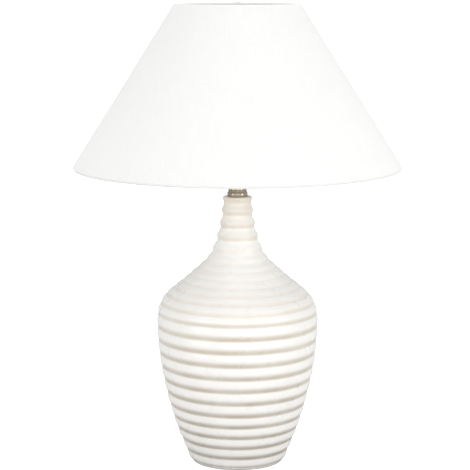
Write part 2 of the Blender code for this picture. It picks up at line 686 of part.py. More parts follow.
# ---------------------------------------------------------------- shade and its carrier
def make_shade():
    """The stiff conical panel, the wire in each of its edges, and the fitter with its arms."""
    run = SHADE_BOTTOM_RADIUS - SHADE_TOP_RADIUS
    slant = hypot(run, SHADE_HEIGHT)
    out = (SHADE_HEIGHT / slant, run / slant)      # unit vector square to the panel
    down = (run / slant, -SHADE_HEIGHT / slant)    # unit vector down the panel
    inset = PANEL_THICKNESS / out[0]
    outer = [(SHADE_TOP_RADIUS, shade_top), (SHADE_BOTTOM_RADIUS, shade_bottom)]
    inner = [(radius - inset, height) for radius, height in reversed(outer)]
    turned("shade_panel", outer + inner, SHADE_SEGMENTS, "linen")

    depth = PANEL_THICKNESS + CLEARANCE + WIRE_RADIUS
    wires = {}
    ends = (
        ("shade_top_wire", SHADE_TOP_RADIUS, shade_top, WIRE_FROM_EDGE),
        ("shade_bottom_wire", SHADE_BOTTOM_RADIUS, shade_bottom, -WIRE_FROM_EDGE),
    )
    for name, radius, height, along in ends:
        middle = (radius + down[0] * along - out[0] * depth, height + down[1] * along - out[1] * depth)
        outline = arc(middle, (WIRE_RADIUS, WIRE_RADIUS), 0, -4, 8)[:-1]
        turned(name, outline, SHADE_SEGMENTS, "white enamel")
        wires[name] = middle

    fitter_bore = SLEEVE_RADIUS + FITTER_PLAY
    fitter_radius = fitter_bore + FITTER_WIDTH
    ring = tube_outline(fitter_bore, fitter_radius, fitter_bottom, fitter_top)
    turned("fitter_ring", ring, 32, "white enamel")
    wire_radius, wire_height = wires["shade_bottom_wire"]
    start = fitter_radius + CLEARANCE
    length = hypot(wire_radius - start, wire_height - fitter_middle)
    reach = 1 - (WIRE_RADIUS + CLEARANCE) / length
    end_radius = start + (wire_radius - start) * reach
    end_height = fitter_middle + (wire_height - fitter_middle) * reach
    for i in range(ARM_COUNT):
        angle = pi / 2 + 2 * pi * i / ARM_COUNT
        line = [(start * cos(angle), start * sin(angle), fitter_middle),
                (end_radius * cos(angle), end_radius * sin(angle), end_height)]
        wire("fitter_arm_" + str(i + 1), line, ARM_RADIUS, "white enamel")


make_shade()
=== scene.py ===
# %% [markdown]
# # A ribbed ceramic table lamp with a linen shade
# The lamp stands on a hollow ceramic body whose surface is thrown in soft horizontal ribs. A threaded rod
# clamps the body between a plate under its foot and a nickel cap on its mouth, and carries the lampholder.
# The shade hangs on a three-armed carrier, which a retaining ring holds on the lampholder.
# This lesson builds the lamp's looks around a finished frame: the frame knows where each part is and how it
# moves, and every piece made here is laid exactly over the frame part that it stands for.

# %% Load the frame
import json
from bisect import bisect
from math import asin, atan2, cos, degrees, hypot, log, pi, radians, sin, sqrt, tan

import bpy
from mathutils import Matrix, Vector, noise

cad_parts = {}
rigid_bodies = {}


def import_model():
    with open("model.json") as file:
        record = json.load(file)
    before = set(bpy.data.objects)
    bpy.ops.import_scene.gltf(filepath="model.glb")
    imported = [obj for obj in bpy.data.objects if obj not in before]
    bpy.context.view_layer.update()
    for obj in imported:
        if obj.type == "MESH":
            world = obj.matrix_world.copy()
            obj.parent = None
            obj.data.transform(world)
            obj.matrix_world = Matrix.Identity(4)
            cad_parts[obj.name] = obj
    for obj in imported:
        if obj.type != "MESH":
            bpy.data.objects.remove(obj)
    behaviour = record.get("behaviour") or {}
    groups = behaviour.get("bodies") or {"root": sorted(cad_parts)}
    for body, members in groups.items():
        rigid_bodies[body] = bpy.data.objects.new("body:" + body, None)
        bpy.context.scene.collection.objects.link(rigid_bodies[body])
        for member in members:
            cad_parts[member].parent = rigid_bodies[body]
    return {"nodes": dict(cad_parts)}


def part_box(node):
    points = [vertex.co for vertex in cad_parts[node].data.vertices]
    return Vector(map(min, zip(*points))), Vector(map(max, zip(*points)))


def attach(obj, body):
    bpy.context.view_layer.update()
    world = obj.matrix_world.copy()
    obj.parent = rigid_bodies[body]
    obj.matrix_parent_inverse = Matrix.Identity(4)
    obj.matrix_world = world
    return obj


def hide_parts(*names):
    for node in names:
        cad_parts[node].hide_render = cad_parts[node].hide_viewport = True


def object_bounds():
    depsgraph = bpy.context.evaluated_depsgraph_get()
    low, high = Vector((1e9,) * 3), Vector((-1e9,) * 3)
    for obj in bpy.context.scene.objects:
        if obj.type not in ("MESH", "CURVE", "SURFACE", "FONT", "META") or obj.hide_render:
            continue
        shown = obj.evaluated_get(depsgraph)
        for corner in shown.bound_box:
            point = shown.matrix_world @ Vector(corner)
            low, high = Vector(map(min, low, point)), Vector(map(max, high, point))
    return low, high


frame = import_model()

MM = 0.001
cad_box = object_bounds()

# %% [markdown]
# ## The camera
# A product picture of a lamp is taken from a few metres away with a long lens, a little above the middle of
# the lamp, so that the shade's lower edge still shows as a shallow curve and the sides hardly converge. A
# wide lens close by would make the shade look huge beside the foot.

# %% Camera
EYE_DISTANCE = 2.307
EYE_HEIGHT = 0.679
EYE_SIDE = -0.0034
LOOK_DOWN = radians(8.95)
LENS = 130.2

camera_data = bpy.data.cameras.new("studio_camera")
camera_data.lens = LENS
camera_data.sensor_width = 36.0
camera = bpy.data.objects.new("studio_camera", camera_data)
bpy.context.scene.collection.objects.link(camera)
camera.location = (EYE_SIDE, -EYE_DISTANCE, EYE_HEIGHT)
camera.rotation_euler = (pi / 2 - LOOK_DOWN, 0.0, 0.0)
bpy.context.scene.camera = camera
print("camera:", tuple(round(x, 3) for x in camera.location), "looking down", round(degrees(LOOK_DOWN), 2))

# %% [markdown]
# ## The studio
# White things on white are lit by wrapping them in pale light and then taking a little away, so that their
# edges and folds still read. An even white world does the wrapping. A very soft light overhead brightens
# every surface that faces up, a tall softbox on each side of the camera shapes the glaze and the metal, and a
# wide one in front fills what faces the camera. The floor is grey card that glows white for the camera only:
# a floor that were really white would fill the undersides of the ribs, and nothing would show their relief.

# %% Floor, world and lights
FLOOR_SIZE = 160.0
FLOOR_GLOW = 0.85
WORLD_STRENGTH = 0.61

bpy.context.scene.view_settings.view_transform = "Standard"
world = bpy.data.worlds.new("white_room")
bpy.context.scene.world = world
world.use_nodes = True
world.node_tree.nodes["Background"].inputs["Color"].default_value = (1.0, 1.0, 1.0, 1.0)
world.node_tree.nodes["Background"].inputs["Strength"].default_value = WORLD_STRENGTH


def clear_selection():
    """Leave edit mode and let go of everything, so that an operator acts only on what comes next."""
    if bpy.context.object and bpy.context.object.mode != "OBJECT":
        bpy.ops.object.mode_set(mode="OBJECT")
    bpy.ops.object.select_all(action="DESELECT")


def softbox(name, place, aim, width, height, power):
    """A rectangular soft light at a place, turned to a point."""
    light = bpy.data.lights.new(name, "AREA")
    light.shape = "RECTANGLE"
    light.size = width
    light.size_y = height
    light.energy = power
    lamp = bpy.data.objects.new(name, light)
    bpy.context.scene.collection.objects.link(lamp)
    lamp.location = place
    lamp.rotation_euler = (Vector(aim) - Vector(place)).to_track_quat("-Z", "Y").to_euler()
    return lamp


def overhead(name, lean, spread, strength):
    """A light from the whole sky round one direction, leaning towards the camera."""
    light = bpy.data.lights.new(name, "SUN")
    light.angle = spread
    light.energy = strength
    lamp = bpy.data.objects.new(name, light)
    bpy.context.scene.collection.objects.link(lamp)
    lamp.rotation_euler = (lean, 0.0, 0.0)
    return lamp


middle = (0.0, 0.0, cad_box[1].z / 2)
softbox("softbox_left", (-1.9, -1.4, 0.75), middle, width=1.0, height=1.5, power=10.0)
softbox("softbox_right", (1.9, -1.4, 0.75), middle, width=1.0, height=1.5, power=13.5)
softbox("softbox_front", (0.2, -2.8, 0.7), middle, width=3.0, height=1.2, power=19.5)
overhead("overhead_sheet", lean=radians(-20.0), spread=radians(70.0), strength=1.7)

clear_selection()
bpy.ops.mesh.primitive_plane_add(size=FLOOR_SIZE, location=(0.0, 0.0, 0.0))
floor_sheet = bpy.context.object
floor_sheet.name = "studio_floor"

# %% [markdown]
# ## Small tools for the node trees
# A finish is a tree of nodes, and most of its lines only say which node feeds which. Five small helpers keep
# those lines short: they add a node with its sockets set by name, do a sum, mix two colours, map one range
# to another, and start a shared group.

# %% Node helpers
def put(tree, kind, links=(), **values):
    """Add a node, set the sockets named in values, and link sockets given as (input name, source)."""
    node = tree.nodes.new("ShaderNode" + kind)
    for name, value in values.items():
        if name[0].islower():
            setattr(node, name, value)
        else:
            node.inputs[name.replace("_", " ")].default_value = value
    for name, source in links:
        tree.links.new(source, node.inputs[name])
    return node


def maths(tree, operation, first, second=None, clamp=False):
    """One sum on sockets or plain numbers. Returns the answer's socket."""
    node = tree.nodes.new("ShaderNodeMath")
    node.operation = operation
    node.use_clamp = clamp
    for slot, value in zip(node.inputs, (first, second)):
        if isinstance(value, bpy.types.NodeSocket):
            tree.links.new(value, slot)
        elif value is not None:
            slot.default_value = value
    return node.outputs[0]


def blend_colours(tree, share, first, second):
    """Mix two colours, given as sockets or plain values, by a share."""
    node = tree.nodes.new("ShaderNodeMix")
    node.data_type = "RGBA"
    for slot, value in ((node.inputs[0], share), (node.inputs[6], first), (node.inputs[7], second)):
        if isinstance(value, bpy.types.NodeSocket):
            tree.links.new(value, slot)
        elif isinstance(value, tuple):
            slot.default_value = (*value, 1.0)
        else:
            slot.default_value = value
    return node.outputs[2]


def stretch(tree, value, low, high, new_low=0.0, new_high=1.0):
    """Map a value from one range to another, and hold it there."""
    node = put(tree, "MapRange", [("Value", value)])
    for name, number in (("From Min", low), ("From Max", high), ("To Min", new_low), ("To Max", new_high)):
        node.inputs[name].default_value = number
    return node.outputs[0]


def new_group(name, inputs, outputs):
    """An empty shader node group with named inputs (name, kind, value) and outputs (name, kind)."""
    group = bpy.data.node_groups.new(name, "ShaderNodeTree")
    kinds = {"number": "NodeSocketFloat", "colour": "NodeSocketColor", "vector": "NodeSocketVector"}
    for label, kind, value in inputs:
        socket = group.interface.new_socket(label, in_out="INPUT", socket_type=kinds[kind])
        if value is not None:
            socket.default_value = value
    for label, kind in outputs:
        group.interface.new_socket(label, in_out="OUTPUT", socket_type=kinds[kind])
    return group, group.nodes.new("NodeGroupInput").outputs, group.nodes.new("NodeGroupOutput").inputs


print("node helpers ready")

# %% [markdown]
# ## Effects that several finishes share
# Nothing made by hand or handled by people is even. `mottle` gives any colour soft patches, as in glaze,
# plastic and paint. `turning` gives the fine rings that a lathe or a throwing wheel leaves, because it looks
# up its noise by the distance from the lamp's axis and by height only. `smudge` varies a roughness in
# patches, as handling does. `weave` is cloth: threads that go over and under each other, some thicker.

# %% Shared node groups
def make_mottle():
    """Soft patches of a second colour over a first, and a slight unevenness for bump."""
    inputs = [("Light", "colour", None), ("Dark", "colour", None), ("Patch", "number", 0.01),
              ("Amount", "number", 0.5)]
    outputs = [("Color", "colour"), ("Mask", "number"), ("Height", "number")]
    tree, given, result = new_group("mottle", inputs, outputs)
    place = put(tree, "TexCoord").outputs["Object"]
    scale = maths(tree, "DIVIDE", 1.0, given["Patch"])
    broad = put(tree, "TexNoise", [("Vector", place), ("Scale", scale)], Detail=2.0)
    fine_scale = maths(tree, "MULTIPLY", scale, 6.0)
    fine = put(tree, "TexNoise", [("Vector", place), ("Scale", fine_scale)], Detail=3.0)
    both = maths(tree, "ADD", maths(tree, "MULTIPLY", broad.outputs["Fac"], 0.7),
                 maths(tree, "MULTIPLY", fine.outputs["Fac"], 0.3))
    mask = stretch(tree, both, 0.38, 0.66)
    share = maths(tree, "MULTIPLY", mask, given["Amount"])
    tree.links.new(blend_colours(tree, share, given["Light"], given["Dark"]), result["Color"])
    tree.links.new(mask, result["Mask"])
    tree.links.new(both, result["Height"])
    return tree


def make_turning():
    """Fine rings round the lamp's axis."""
    inputs = [("Pitch", "number", 0.001), ("Roughness", "number", 0.3), ("Spread", "number", 0.1)]
    tree, given, result = new_group("turning", inputs, [("Roughness", "number"), ("Height", "number")])
    place = put(tree, "TexCoord").outputs["Object"]
    split = put(tree, "SeparateXYZ", [("Vector", place)]).outputs
    flat = put(tree, "CombineXYZ", [("X", split["X"]), ("Y", split["Y"])]).outputs[0]
    away = put(tree, "VectorMath", operation="LENGTH")
    tree.links.new(flat, away.inputs[0])
    around = put(tree, "CombineXYZ", [("X", away.outputs["Value"]), ("Z", split["Z"])]).outputs[0]
    scale = maths(tree, "DIVIDE", 1.0, given["Pitch"])
    rings = put(tree, "TexNoise", [("Vector", around), ("Scale", scale)], Detail=2.0).outputs["Fac"]
    swing = maths(tree, "MULTIPLY", maths(tree, "SUBTRACT", rings, 0.5), given["Spread"])
    tree.links.new(maths(tree, "ADD", given["Roughness"], swing, clamp=True), result["Roughness"])
    tree.links.new(rings, result["Height"])
    return tree


def make_smudge():
    """A roughness that varies in soft patches."""
    inputs = [("Roughness", "number", 0.3), ("Spread", "number", 0.1), ("Patch", "number", 0.02)]
    tree, given, result = new_group("smudge", inputs, [("Roughness", "number")])
    place = put(tree, "TexCoord").outputs["Object"]
    scale = maths(tree, "DIVIDE", 1.0, given["Patch"])
    cloud = put(tree, "TexNoise", [("Vector", place), ("Scale", scale)], Detail=4.0, Roughness=0.6)
    swing = maths(tree, "SUBTRACT", stretch(tree, cloud.outputs["Fac"], 0.3, 0.7), 0.5)
    swing = maths(tree, "MULTIPLY", swing, given["Spread"])
    tree.links.new(maths(tree, "ADD", given["Roughness"], swing, clamp=True), result["Roughness"])
    return tree


def thread_set(tree, across, along, sign):
    """One set of threads: (height, thread number). They bow over and under the other set."""
    number = maths(tree, "FLOOR", across)
    ridge = maths(tree, "ABSOLUTE", maths(tree, "SINE", maths(tree, "MULTIPLY", across, pi)))
    bow = maths(tree, "COSINE", maths(tree, "MULTIPLY", maths(tree, "ADD", along, number), pi))
    bow = maths(tree, "ADD", maths(tree, "MULTIPLY", bow, 0.4 * sign), 0.6)
    return maths(tree, "MULTIPLY", ridge, bow), number


def make_weave():
    """Plain weave on a vector in metres, with uneven slubs along the threads."""
    inputs = [("Vector", "vector", None), ("Pitch", "number", 0.0008), ("Slub", "number", 0.5)]
    outputs = [("Height", "number"), ("Thread", "number"), ("Slub", "number")]
    tree, given, result = new_group("weave", inputs, outputs)
    sway = put(tree, "TexNoise", [("Vector", given["Vector"])], Scale=90.0, Detail=1.0)
    shift = put(tree, "VectorMath", operation="SCALE")
    tree.links.new(sway.outputs["Color"], shift.inputs[0])
    shift.inputs["Scale"].default_value = 0.0004
    place = put(tree, "VectorMath", operation="ADD")
    tree.links.new(given["Vector"], place.inputs[0])
    tree.links.new(shift.outputs[0], place.inputs[1])
    split = put(tree, "SeparateXYZ", [("Vector", place.outputs[0])]).outputs
    u = maths(tree, "DIVIDE", split["X"], given["Pitch"])
    v = maths(tree, "DIVIDE", split["Y"], given["Pitch"])
    warp, warp_number = thread_set(tree, u, v, 1.0)
    weft, weft_number = thread_set(tree, v, u, -1.0)
    thread = maths(tree, "MAXIMUM", warp, weft)
    slubs = []
    for number, along in ((warp_number, split["Y"]), (weft_number, split["X"])):
        lookup = put(tree, "CombineXYZ", [("X", maths(tree, "MULTIPLY", number, 0.61))])
        tree.links.new(maths(tree, "MULTIPLY", along, 28.0), lookup.inputs["Y"])
        uneven = put(tree, "TexNoise", [("Vector", lookup.outputs[0])], Scale=1.0, Detail=2.0)
        slubs.append(stretch(tree, uneven.outputs["Fac"], 0.35, 0.75))
    slub = maths(tree, "ADD", maths(tree, "MULTIPLY", slubs[0], 0.65),
                 maths(tree, "MULTIPLY", slubs[1], 0.35))
    raised = maths(tree, "MULTIPLY", slub, given["Slub"])
    tree.links.new(maths(tree, "ADD", thread, raised), result["Height"])
    tree.links.new(thread, result["Thread"])
    tree.links.new(slub, result["Slub"])
    return tree


GROUPS = {"mottle": make_mottle(), "turning": make_turning(), "smudge": make_smudge(), "weave": make_weave()}
print("shared effects:", sorted(GROUPS))

# %% [markdown]
# ## The finishes
# Each finish is one Principled shader. What is the same all over, such as the metal's metallic value or the
# cloth's sheen, is set on the shader itself. What changes over the surface comes through the shared groups.
# A bump only gives the finest relief, such as threads and tool marks: the ribs, rolls and threads that can be
# seen from across the room are real geometry.

# %% Helpers for finishes
def new_finish(name, colour, roughness, metallic=0.0, **plain):
    """A material with its plain values on the shader. Returns the material, its tree and the shader."""
    material = bpy.data.materials.new(name)
    material.use_nodes = True
    shader = material.node_tree.nodes["Principled BSDF"]
    shader.inputs["Base Color"].default_value = (*colour, 1.0)
    shader.inputs["Roughness"].default_value = roughness
    shader.inputs["Metallic"].default_value = metallic
    for label, value in plain.items():
        shader.inputs[label.replace("_", " ")].default_value = value
    return material, material.node_tree, shader


def use_group(tree, name, **values):
    """Place a shared group in a material, with its own values."""
    node = tree.nodes.new("ShaderNodeGroup")
    node.node_tree = GROUPS[name]
    for label, value in values.items():
        if isinstance(value, tuple):
            value = (*value, 1.0)
        node.inputs[label].default_value = value
    return node


def bump(tree, shader, height, distance, strength=1.0):
    """Feed a height to the shader's normal, on top of any bump that is already there."""
    node = tree.nodes.new("ShaderNodeBump")
    node.inputs["Distance"].default_value = distance
    node.inputs["Strength"].default_value = strength
    tree.links.new(height, node.inputs["Height"])
    if shader.inputs["Normal"].is_linked:
        tree.links.new(shader.inputs["Normal"].links[0].from_socket, node.inputs["Normal"])
    tree.links.new(node.outputs["Normal"], shader.inputs["Normal"])


def patchy(tree, shader, light, dark, patch, amount):
    """Give the shader a colour in soft patches. Returns the group's node, for its mask and height."""
    patches = use_group(tree, "mottle", Light=light, Dark=dark, Patch=patch, Amount=amount)
    tree.links.new(patches.outputs["Color"], shader.inputs["Base Color"])
    return patches


def handled(tree, shader, roughness, spread, patch):
    """Give the shader a roughness that varies in patches."""
    smudged = use_group(tree, "smudge", Roughness=roughness, Spread=spread, Patch=patch)
    tree.links.new(smudged.outputs["Roughness"], shader.inputs["Roughness"])


print("finish helpers ready")

# %% [markdown]
# ### Glaze
# The body is dipped in a cream gloss glaze. On the crests the glaze runs thin and shows nearly white. Under
# each crest the colour turns a warm beige, which is partly glaze pooled there and partly painted shade of the
# rib's underside. That colour gets darker towards the foot, as painted shade of the lower body, and near the
# mouth a warm tint is partly the glaze's own tone and partly the painted shadow of the lampshade. The body's
# mesh carries an attribute for this darker colour, which is 0 on a rib's upper side and 1 at the bottom of
# the groove under it, so the colour follows the real ribs.

# %% Glaze
def make_glaze():
    """Cream gloss glaze, darker under each rib as pooled glaze and painted shade, with painted shade
    deepening towards the foot and a warm tint at the mouth that is partly its tone and partly painted shadow.
    """
    material, tree, shader = new_finish("cream_glaze", (0.90, 0.88, 0.83), 0.3, Coat_Roughness=0.18)
    # The darker colour under each rib is partly glaze pooled there and partly painted shade of the rib's
    # underside.
    pool_and_shade = put(tree, "Attribute", attribute_name="pool_and_shade").outputs["Fac"]
    place = put(tree, "TexCoord").outputs["Object"]
    height = put(tree, "SeparateXYZ", [("Vector", place)]).outputs["Z"]
    patches = use_group(tree, "mottle", Light=(0.94, 0.93, 0.90), Dark=(0.92, 0.90, 0.86), Patch=0.03,
                        Amount=0.8)
    run = put(tree, "TexNoise", [("Vector", place)], Scale=22.0, Detail=3.0).outputs["Fac"]
    # Painted shade: the colour under the ribs gets darker towards the foot, where the lower body faces down.
    shade_towards_foot = stretch(tree, height, 0.0, 0.24, 0.9, 0.0)
    pool_and_shade_colour = blend_colours(tree, shade_towards_foot, (0.70, 0.62, 0.51), (0.40, 0.35, 0.28))
    pool_and_shade_share = maths(tree, "MULTIPLY", pool_and_shade, stretch(tree, run, 0.3, 0.7, 0.7, 1.0))
    body_share = stretch(tree, height, 0.20, 0.26, 1.0, 0.25)
    collar_share = stretch(tree, height, 0.29, 0.32, 0.0, 0.65)
    pool_and_shade_share = maths(tree, "MULTIPLY", pool_and_shade_share, maths(tree, "ADD", body_share, collar_share, clamp=True))
    colour = blend_colours(tree, pool_and_shade_share, patches.outputs["Color"], pool_and_shade_colour)
    # Near the mouth the colour warms and darkens: partly the glaze's own tone, partly the painted shadow of
    # the lampshade.
    neck = stretch(tree, height, 0.31, 0.367, 0.0, 0.7)
    neck_tint_and_shadow = maths(tree, "MULTIPLY", neck, stretch(tree, run, 0.35, 0.6, 0.6, 1.0))
    colour = blend_colours(tree, neck_tint_and_shadow, colour, (0.88, 0.79, 0.66))
    specks = put(tree, "TexVoronoi", [("Vector", place)], Scale=520.0)
    speck = stretch(tree, specks.outputs["Distance"], 0.05, 0.09, 1.0, 0.0)
    rare = stretch(tree, put(tree, "TexNoise", [("Vector", place)], Scale=75.0).outputs["Fac"], 0.62, 0.66)
    speck = maths(tree, "MULTIPLY", maths(tree, "MULTIPLY", speck, rare), 0.04)
    colour = blend_colours(tree, speck, colour, (0.45, 0.36, 0.27))
    tree.links.new(colour, shader.inputs["Base Color"])
    handled(tree, shader, 0.3, 0.12, 0.025)
    tree.links.new(stretch(tree, run, 0.3, 0.7, 0.1, 0.3), shader.inputs["Coat Weight"])
    rings = use_group(tree, "turning", Pitch=0.0016, Roughness=0.1, Spread=0.0)
    bump(tree, shader, rings.outputs["Height"], 0.00012)
    bump(tree, shader, patches.outputs["Height"], 0.00025)
    return material


cream_glaze = make_glaze()
print("glaze:", cream_glaze.name, len(cream_glaze.node_tree.nodes), "nodes")

# %% [markdown]
# ### Linen and its liner
# The shade is linen glued to a thin white film. Its cone is cut from one flat sheet, so the threads run
# straight up the front and turn round the cone towards the back. The mesh's UV map is that flat sheet, in
# metres, and the weave is drawn on it. Uneven threads, called slubs, are what makes linen read as linen.

# %% Linen and liner
def make_linen():
    """White linen with slubs, drawn on the flat pattern."""
    material, tree, shader = new_finish("white_linen", (0.94, 0.93, 0.91), 0.85, Sheen_Weight=0.15,
                                        Sheen_Roughness=0.4)
    sheet = put(tree, "UVMap", uv_map="flat_pattern").outputs["UV"]
    cloth = use_group(tree, "weave", Pitch=0.00075, Slub=0.7)
    tree.links.new(sheet, cloth.inputs["Vector"])
    colour = blend_colours(tree, cloth.outputs["Slub"], (0.895, 0.895, 0.885), (0.85, 0.845, 0.83))
    gaps = stretch(tree, cloth.outputs["Thread"], 0.1, 0.55, 0.35, 0.0)
    colour = blend_colours(tree, gaps, colour, (0.79, 0.78, 0.75))
    tree.links.new(colour, shader.inputs["Base Color"])
    tree.links.new(stretch(tree, cloth.outputs["Slub"], 0.0, 1.0, 0.92, 0.72), shader.inputs["Roughness"])
    bump(tree, shader, cloth.outputs["Height"], 0.00018)
    return material


def make_liner():
    """Satin white film with soft patches."""
    material, tree, shader = new_finish("white_film", (0.93, 0.93, 0.92), 0.35)
    patches = patchy(tree, shader, (0.94, 0.94, 0.93), (0.90, 0.90, 0.88), 0.04, 0.7)
    handled(tree, shader, 0.36, 0.15, 0.03)
    bump(tree, shader, patches.outputs["Height"], 0.0002)
    return material


white_linen = make_linen()
white_film = make_liner()
print("cloth finishes:", white_linen.name, white_film.name)

# %% [markdown]
# ### Metals
# Nickel, zinc and brass differ in colour and in how bright they are left. All have the fine rings of a lathe
# and the soft smudges of handling. Worn edges are polished: the pointiness of the geometry picks them out.

# %% Metals
def make_metal(name, colour, tarnish, roughness, pitch, marks):
    """A turned metal with tarnish in patches, polished edges and lathe rings."""
    material, tree, shader = new_finish(name, colour, roughness, 1.0)
    patches = use_group(tree, "mottle", Light=colour, Dark=tarnish, Patch=0.006, Amount=0.6)
    point = put(tree, "NewGeometry").outputs["Pointiness"]
    edge = stretch(tree, point, 0.52, 0.60, 0.0, 0.5)
    bright = tuple(min(1.0, channel * 1.15) for channel in colour)
    tree.links.new(blend_colours(tree, edge, patches.outputs["Color"], bright), shader.inputs["Base Color"])
    rings = use_group(tree, "turning", Pitch=pitch, Roughness=roughness, Spread=roughness * 0.6)
    smudged = use_group(tree, "smudge", Spread=roughness * 0.8, Patch=0.008)
    tree.links.new(rings.outputs["Roughness"], smudged.inputs["Roughness"])
    tree.links.new(smudged.outputs["Roughness"], shader.inputs["Roughness"])
    bump(tree, shader, rings.outputs["Height"], marks)
    return material


warm_nickel = make_metal("warm_nickel", (0.44, 0.38, 0.29), (0.27, 0.23, 0.17), 0.12, 0.0004, 0.00002)
dull_zinc = make_metal("dull_zinc", (0.60, 0.61, 0.62), (0.45, 0.45, 0.44), 0.38, 0.0006, 0.00004)
plain_brass = make_metal("plain_brass", (0.80, 0.62, 0.30), (0.55, 0.40, 0.20), 0.30, 0.0005, 0.00003)
print("metals:", warm_nickel.name, dull_zinc.name, plain_brass.name)

# %% [markdown]
# ### Mouldings, enamel, felt and glass
# The holder's sleeve is a hard white moulding, the switch knobs are black, the carrier is enamelled wire, and
# the ring under the foot is felt. Each has its own grain: mouldings are faintly pebbled, enamel is wavy like
# orange peel, and felt is a mat of short fibres.

# %% Mouldings, enamel, felt and glass
def make_moulding(name, colour, shade, roughness, grain):
    """A moulded or painted surface with a fine grain."""
    material, tree, shader = new_finish(name, colour, roughness)
    patchy(tree, shader, colour, shade, 0.012, 0.6)
    handled(tree, shader, roughness, 0.14, 0.01)
    place = put(tree, "TexCoord").outputs["Object"]
    pebbles = put(tree, "TexNoise", [("Vector", place)], Scale=grain, Detail=2.0)
    bump(tree, shader, pebbles.outputs["Fac"], 0.00006)
    return material


def make_felt():
    """A mat of short fibres."""
    material, tree, shader = new_finish("grey_felt", (0.55, 0.53, 0.48), 0.95, Sheen_Weight=0.3)
    place = put(tree, "TexCoord").outputs["Object"]
    fibres = put(tree, "TexNoise", [("Vector", place)], Scale=1400.0, Detail=4.0, Distortion=1.5)
    fibres = fibres.outputs["Fac"]
    patches = use_group(tree, "mottle", Light=(0.62, 0.60, 0.55), Dark=(0.48, 0.46, 0.42), Patch=0.004,
                        Amount=0.8)
    colour = blend_colours(tree, stretch(tree, fibres, 0.4, 0.65, 0.0, 0.5), patches.outputs["Color"],
                           (0.74, 0.72, 0.68))
    tree.links.new(colour, shader.inputs["Base Color"])
    bump(tree, shader, fibres, 0.0004)
    return material


def make_opal():
    """White opal glass: a milky layer under a smooth skin, with faint clouding."""
    material, tree, shader = new_finish("opal_glass", (0.93, 0.93, 0.91), 0.18, Coat_Roughness=0.03)
    patches = patchy(tree, shader, (0.95, 0.95, 0.94), (0.90, 0.90, 0.88), 0.02, 0.6)
    tree.links.new(stretch(tree, patches.outputs["Mask"], 0.0, 1.0, 0.7, 0.9), shader.inputs["Coat Weight"])
    handled(tree, shader, 0.2, 0.1, 0.015)
    return material


def make_floor():
    """Grey card that the eye sees as white: it glows for the camera only."""
    material, tree, shader = new_finish("studio_floor", (0.58, 0.58, 0.58), 0.8,
                                        Emission_Color=(1.0, 1.0, 1.0, 1.0))
    patchy(tree, shader, (0.59, 0.59, 0.59), (0.57, 0.57, 0.57), 0.3, 0.5)
    seen = put(tree, "LightPath").outputs["Is Camera Ray"]
    tree.links.new(maths(tree, "MULTIPLY", seen, FLOOR_GLOW), shader.inputs["Emission Strength"])
    return material


white_moulding = make_moulding("white_moulding", (0.85, 0.84, 0.81), (0.79, 0.77, 0.72), 0.32, 900.0)
soft_plastic = make_moulding("soft_white_plastic", (0.80, 0.79, 0.76), (0.74, 0.72, 0.68), 0.42, 700.0)
black_moulding = make_moulding("black_moulding", (0.035, 0.035, 0.035), (0.06, 0.06, 0.06), 0.38, 1100.0)
white_enamel = make_moulding("white_enamel", (0.86, 0.86, 0.84), (0.80, 0.79, 0.76), 0.3, 450.0)
black_glass = make_moulding("black_glass", (0.02, 0.02, 0.03), (0.05, 0.05, 0.06), 0.12, 300.0)
studio_floor = make_floor()
grey_felt = make_felt()
opal_glass = make_opal()
floor_sheet.data.materials.append(studio_floor)
print("mouldings:", white_moulding.name, soft_plastic.name, black_moulding.name, white_enamel.name)

# %% [markdown]
# ## Turned work
# Most of this lamp is turned: it was thrown on a wheel, spun from sheet or cut on a lathe. Blender's own
# lathe is the spin operator. A plane is merged to a single point, the point is extruded along the outline,
# and the outline is spun round the axis. Merging the doubled seam closes the shape, and then its normals
# are made to point outwards. Outlines are given as corners with a rounding each, because real edges are
# never sharp.

# %% Turning helpers
def rounded(corners, steps=4):
    """Corners (radius, height, rounding) as the points of a closed outline with arcs at its corners."""
    outline = []
    for i, (radius, height, rounding) in enumerate(corners):
        corner = Vector((radius, height))
        before = Vector(corners[i - 1][:2]) - corner
        after = Vector(corners[(i + 1) % len(corners)][:2]) - corner
        if rounding == 0.0:
            outline.append((radius, height))
            continue
        half = before.angle(after) / 2
        reach = min(rounding / tan(half), before.length * 0.49, after.length * 0.49)
        centre = corner + (before.normalized() + after.normalized()).normalized() * (reach / cos(half))
        first = corner + before.normalized() * reach - centre
        last = corner + after.normalized() * reach - centre
        start = atan2(first.y, first.x)
        swing = (atan2(last.y, last.x) - start + pi) % (2 * pi) - pi
        for k in range(steps + 1):
            angle = start + swing * k / steps
            outline.append((centre.x + first.length * cos(angle), centre.y + first.length * sin(angle)))
    return outline


def named(piece, name):
    """Give an object and its mesh the same name."""
    piece.name = name
    piece.data.name = name
    return piece


def cylinder(radius, depth, place, rotation, vertices=32):
    """A plain cylinder, to cut with or to shape."""
    clear_selection()
    bpy.ops.mesh.primitive_cylinder_add(vertices=vertices, radius=radius, depth=depth, location=place,
                                        rotation=rotation)
    return bpy.context.object


def draw_line(places):
    """A chain of edges, extruded point by point. Leaves the new object in edit mode."""
    clear_selection()
    bpy.ops.mesh.primitive_plane_add(size=MM, location=(0.0, 0.0, 0.0))
    bpy.ops.object.mode_set(mode="EDIT")
    bpy.ops.mesh.merge(type="CENTER")
    bpy.ops.transform.translate(value=places[0])
    for last, place in zip(places, places[1:]):
        bpy.ops.mesh.extrude_vertices_move(TRANSFORM_OT_translate={"value": place - last})
    return bpy.context.object


def close_up(piece, sharp=40.0):
    """Merge doubled points, point the normals outwards, leave edit mode and shade smooth."""
    bpy.ops.mesh.select_all(action="SELECT")
    bpy.ops.mesh.remove_doubles(threshold=0.000005)
    bpy.ops.mesh.normals_make_consistent(inside=False)
    bpy.ops.object.mode_set(mode="OBJECT")
    bpy.ops.object.shade_smooth_by_angle(angle=radians(sharp))
    return piece


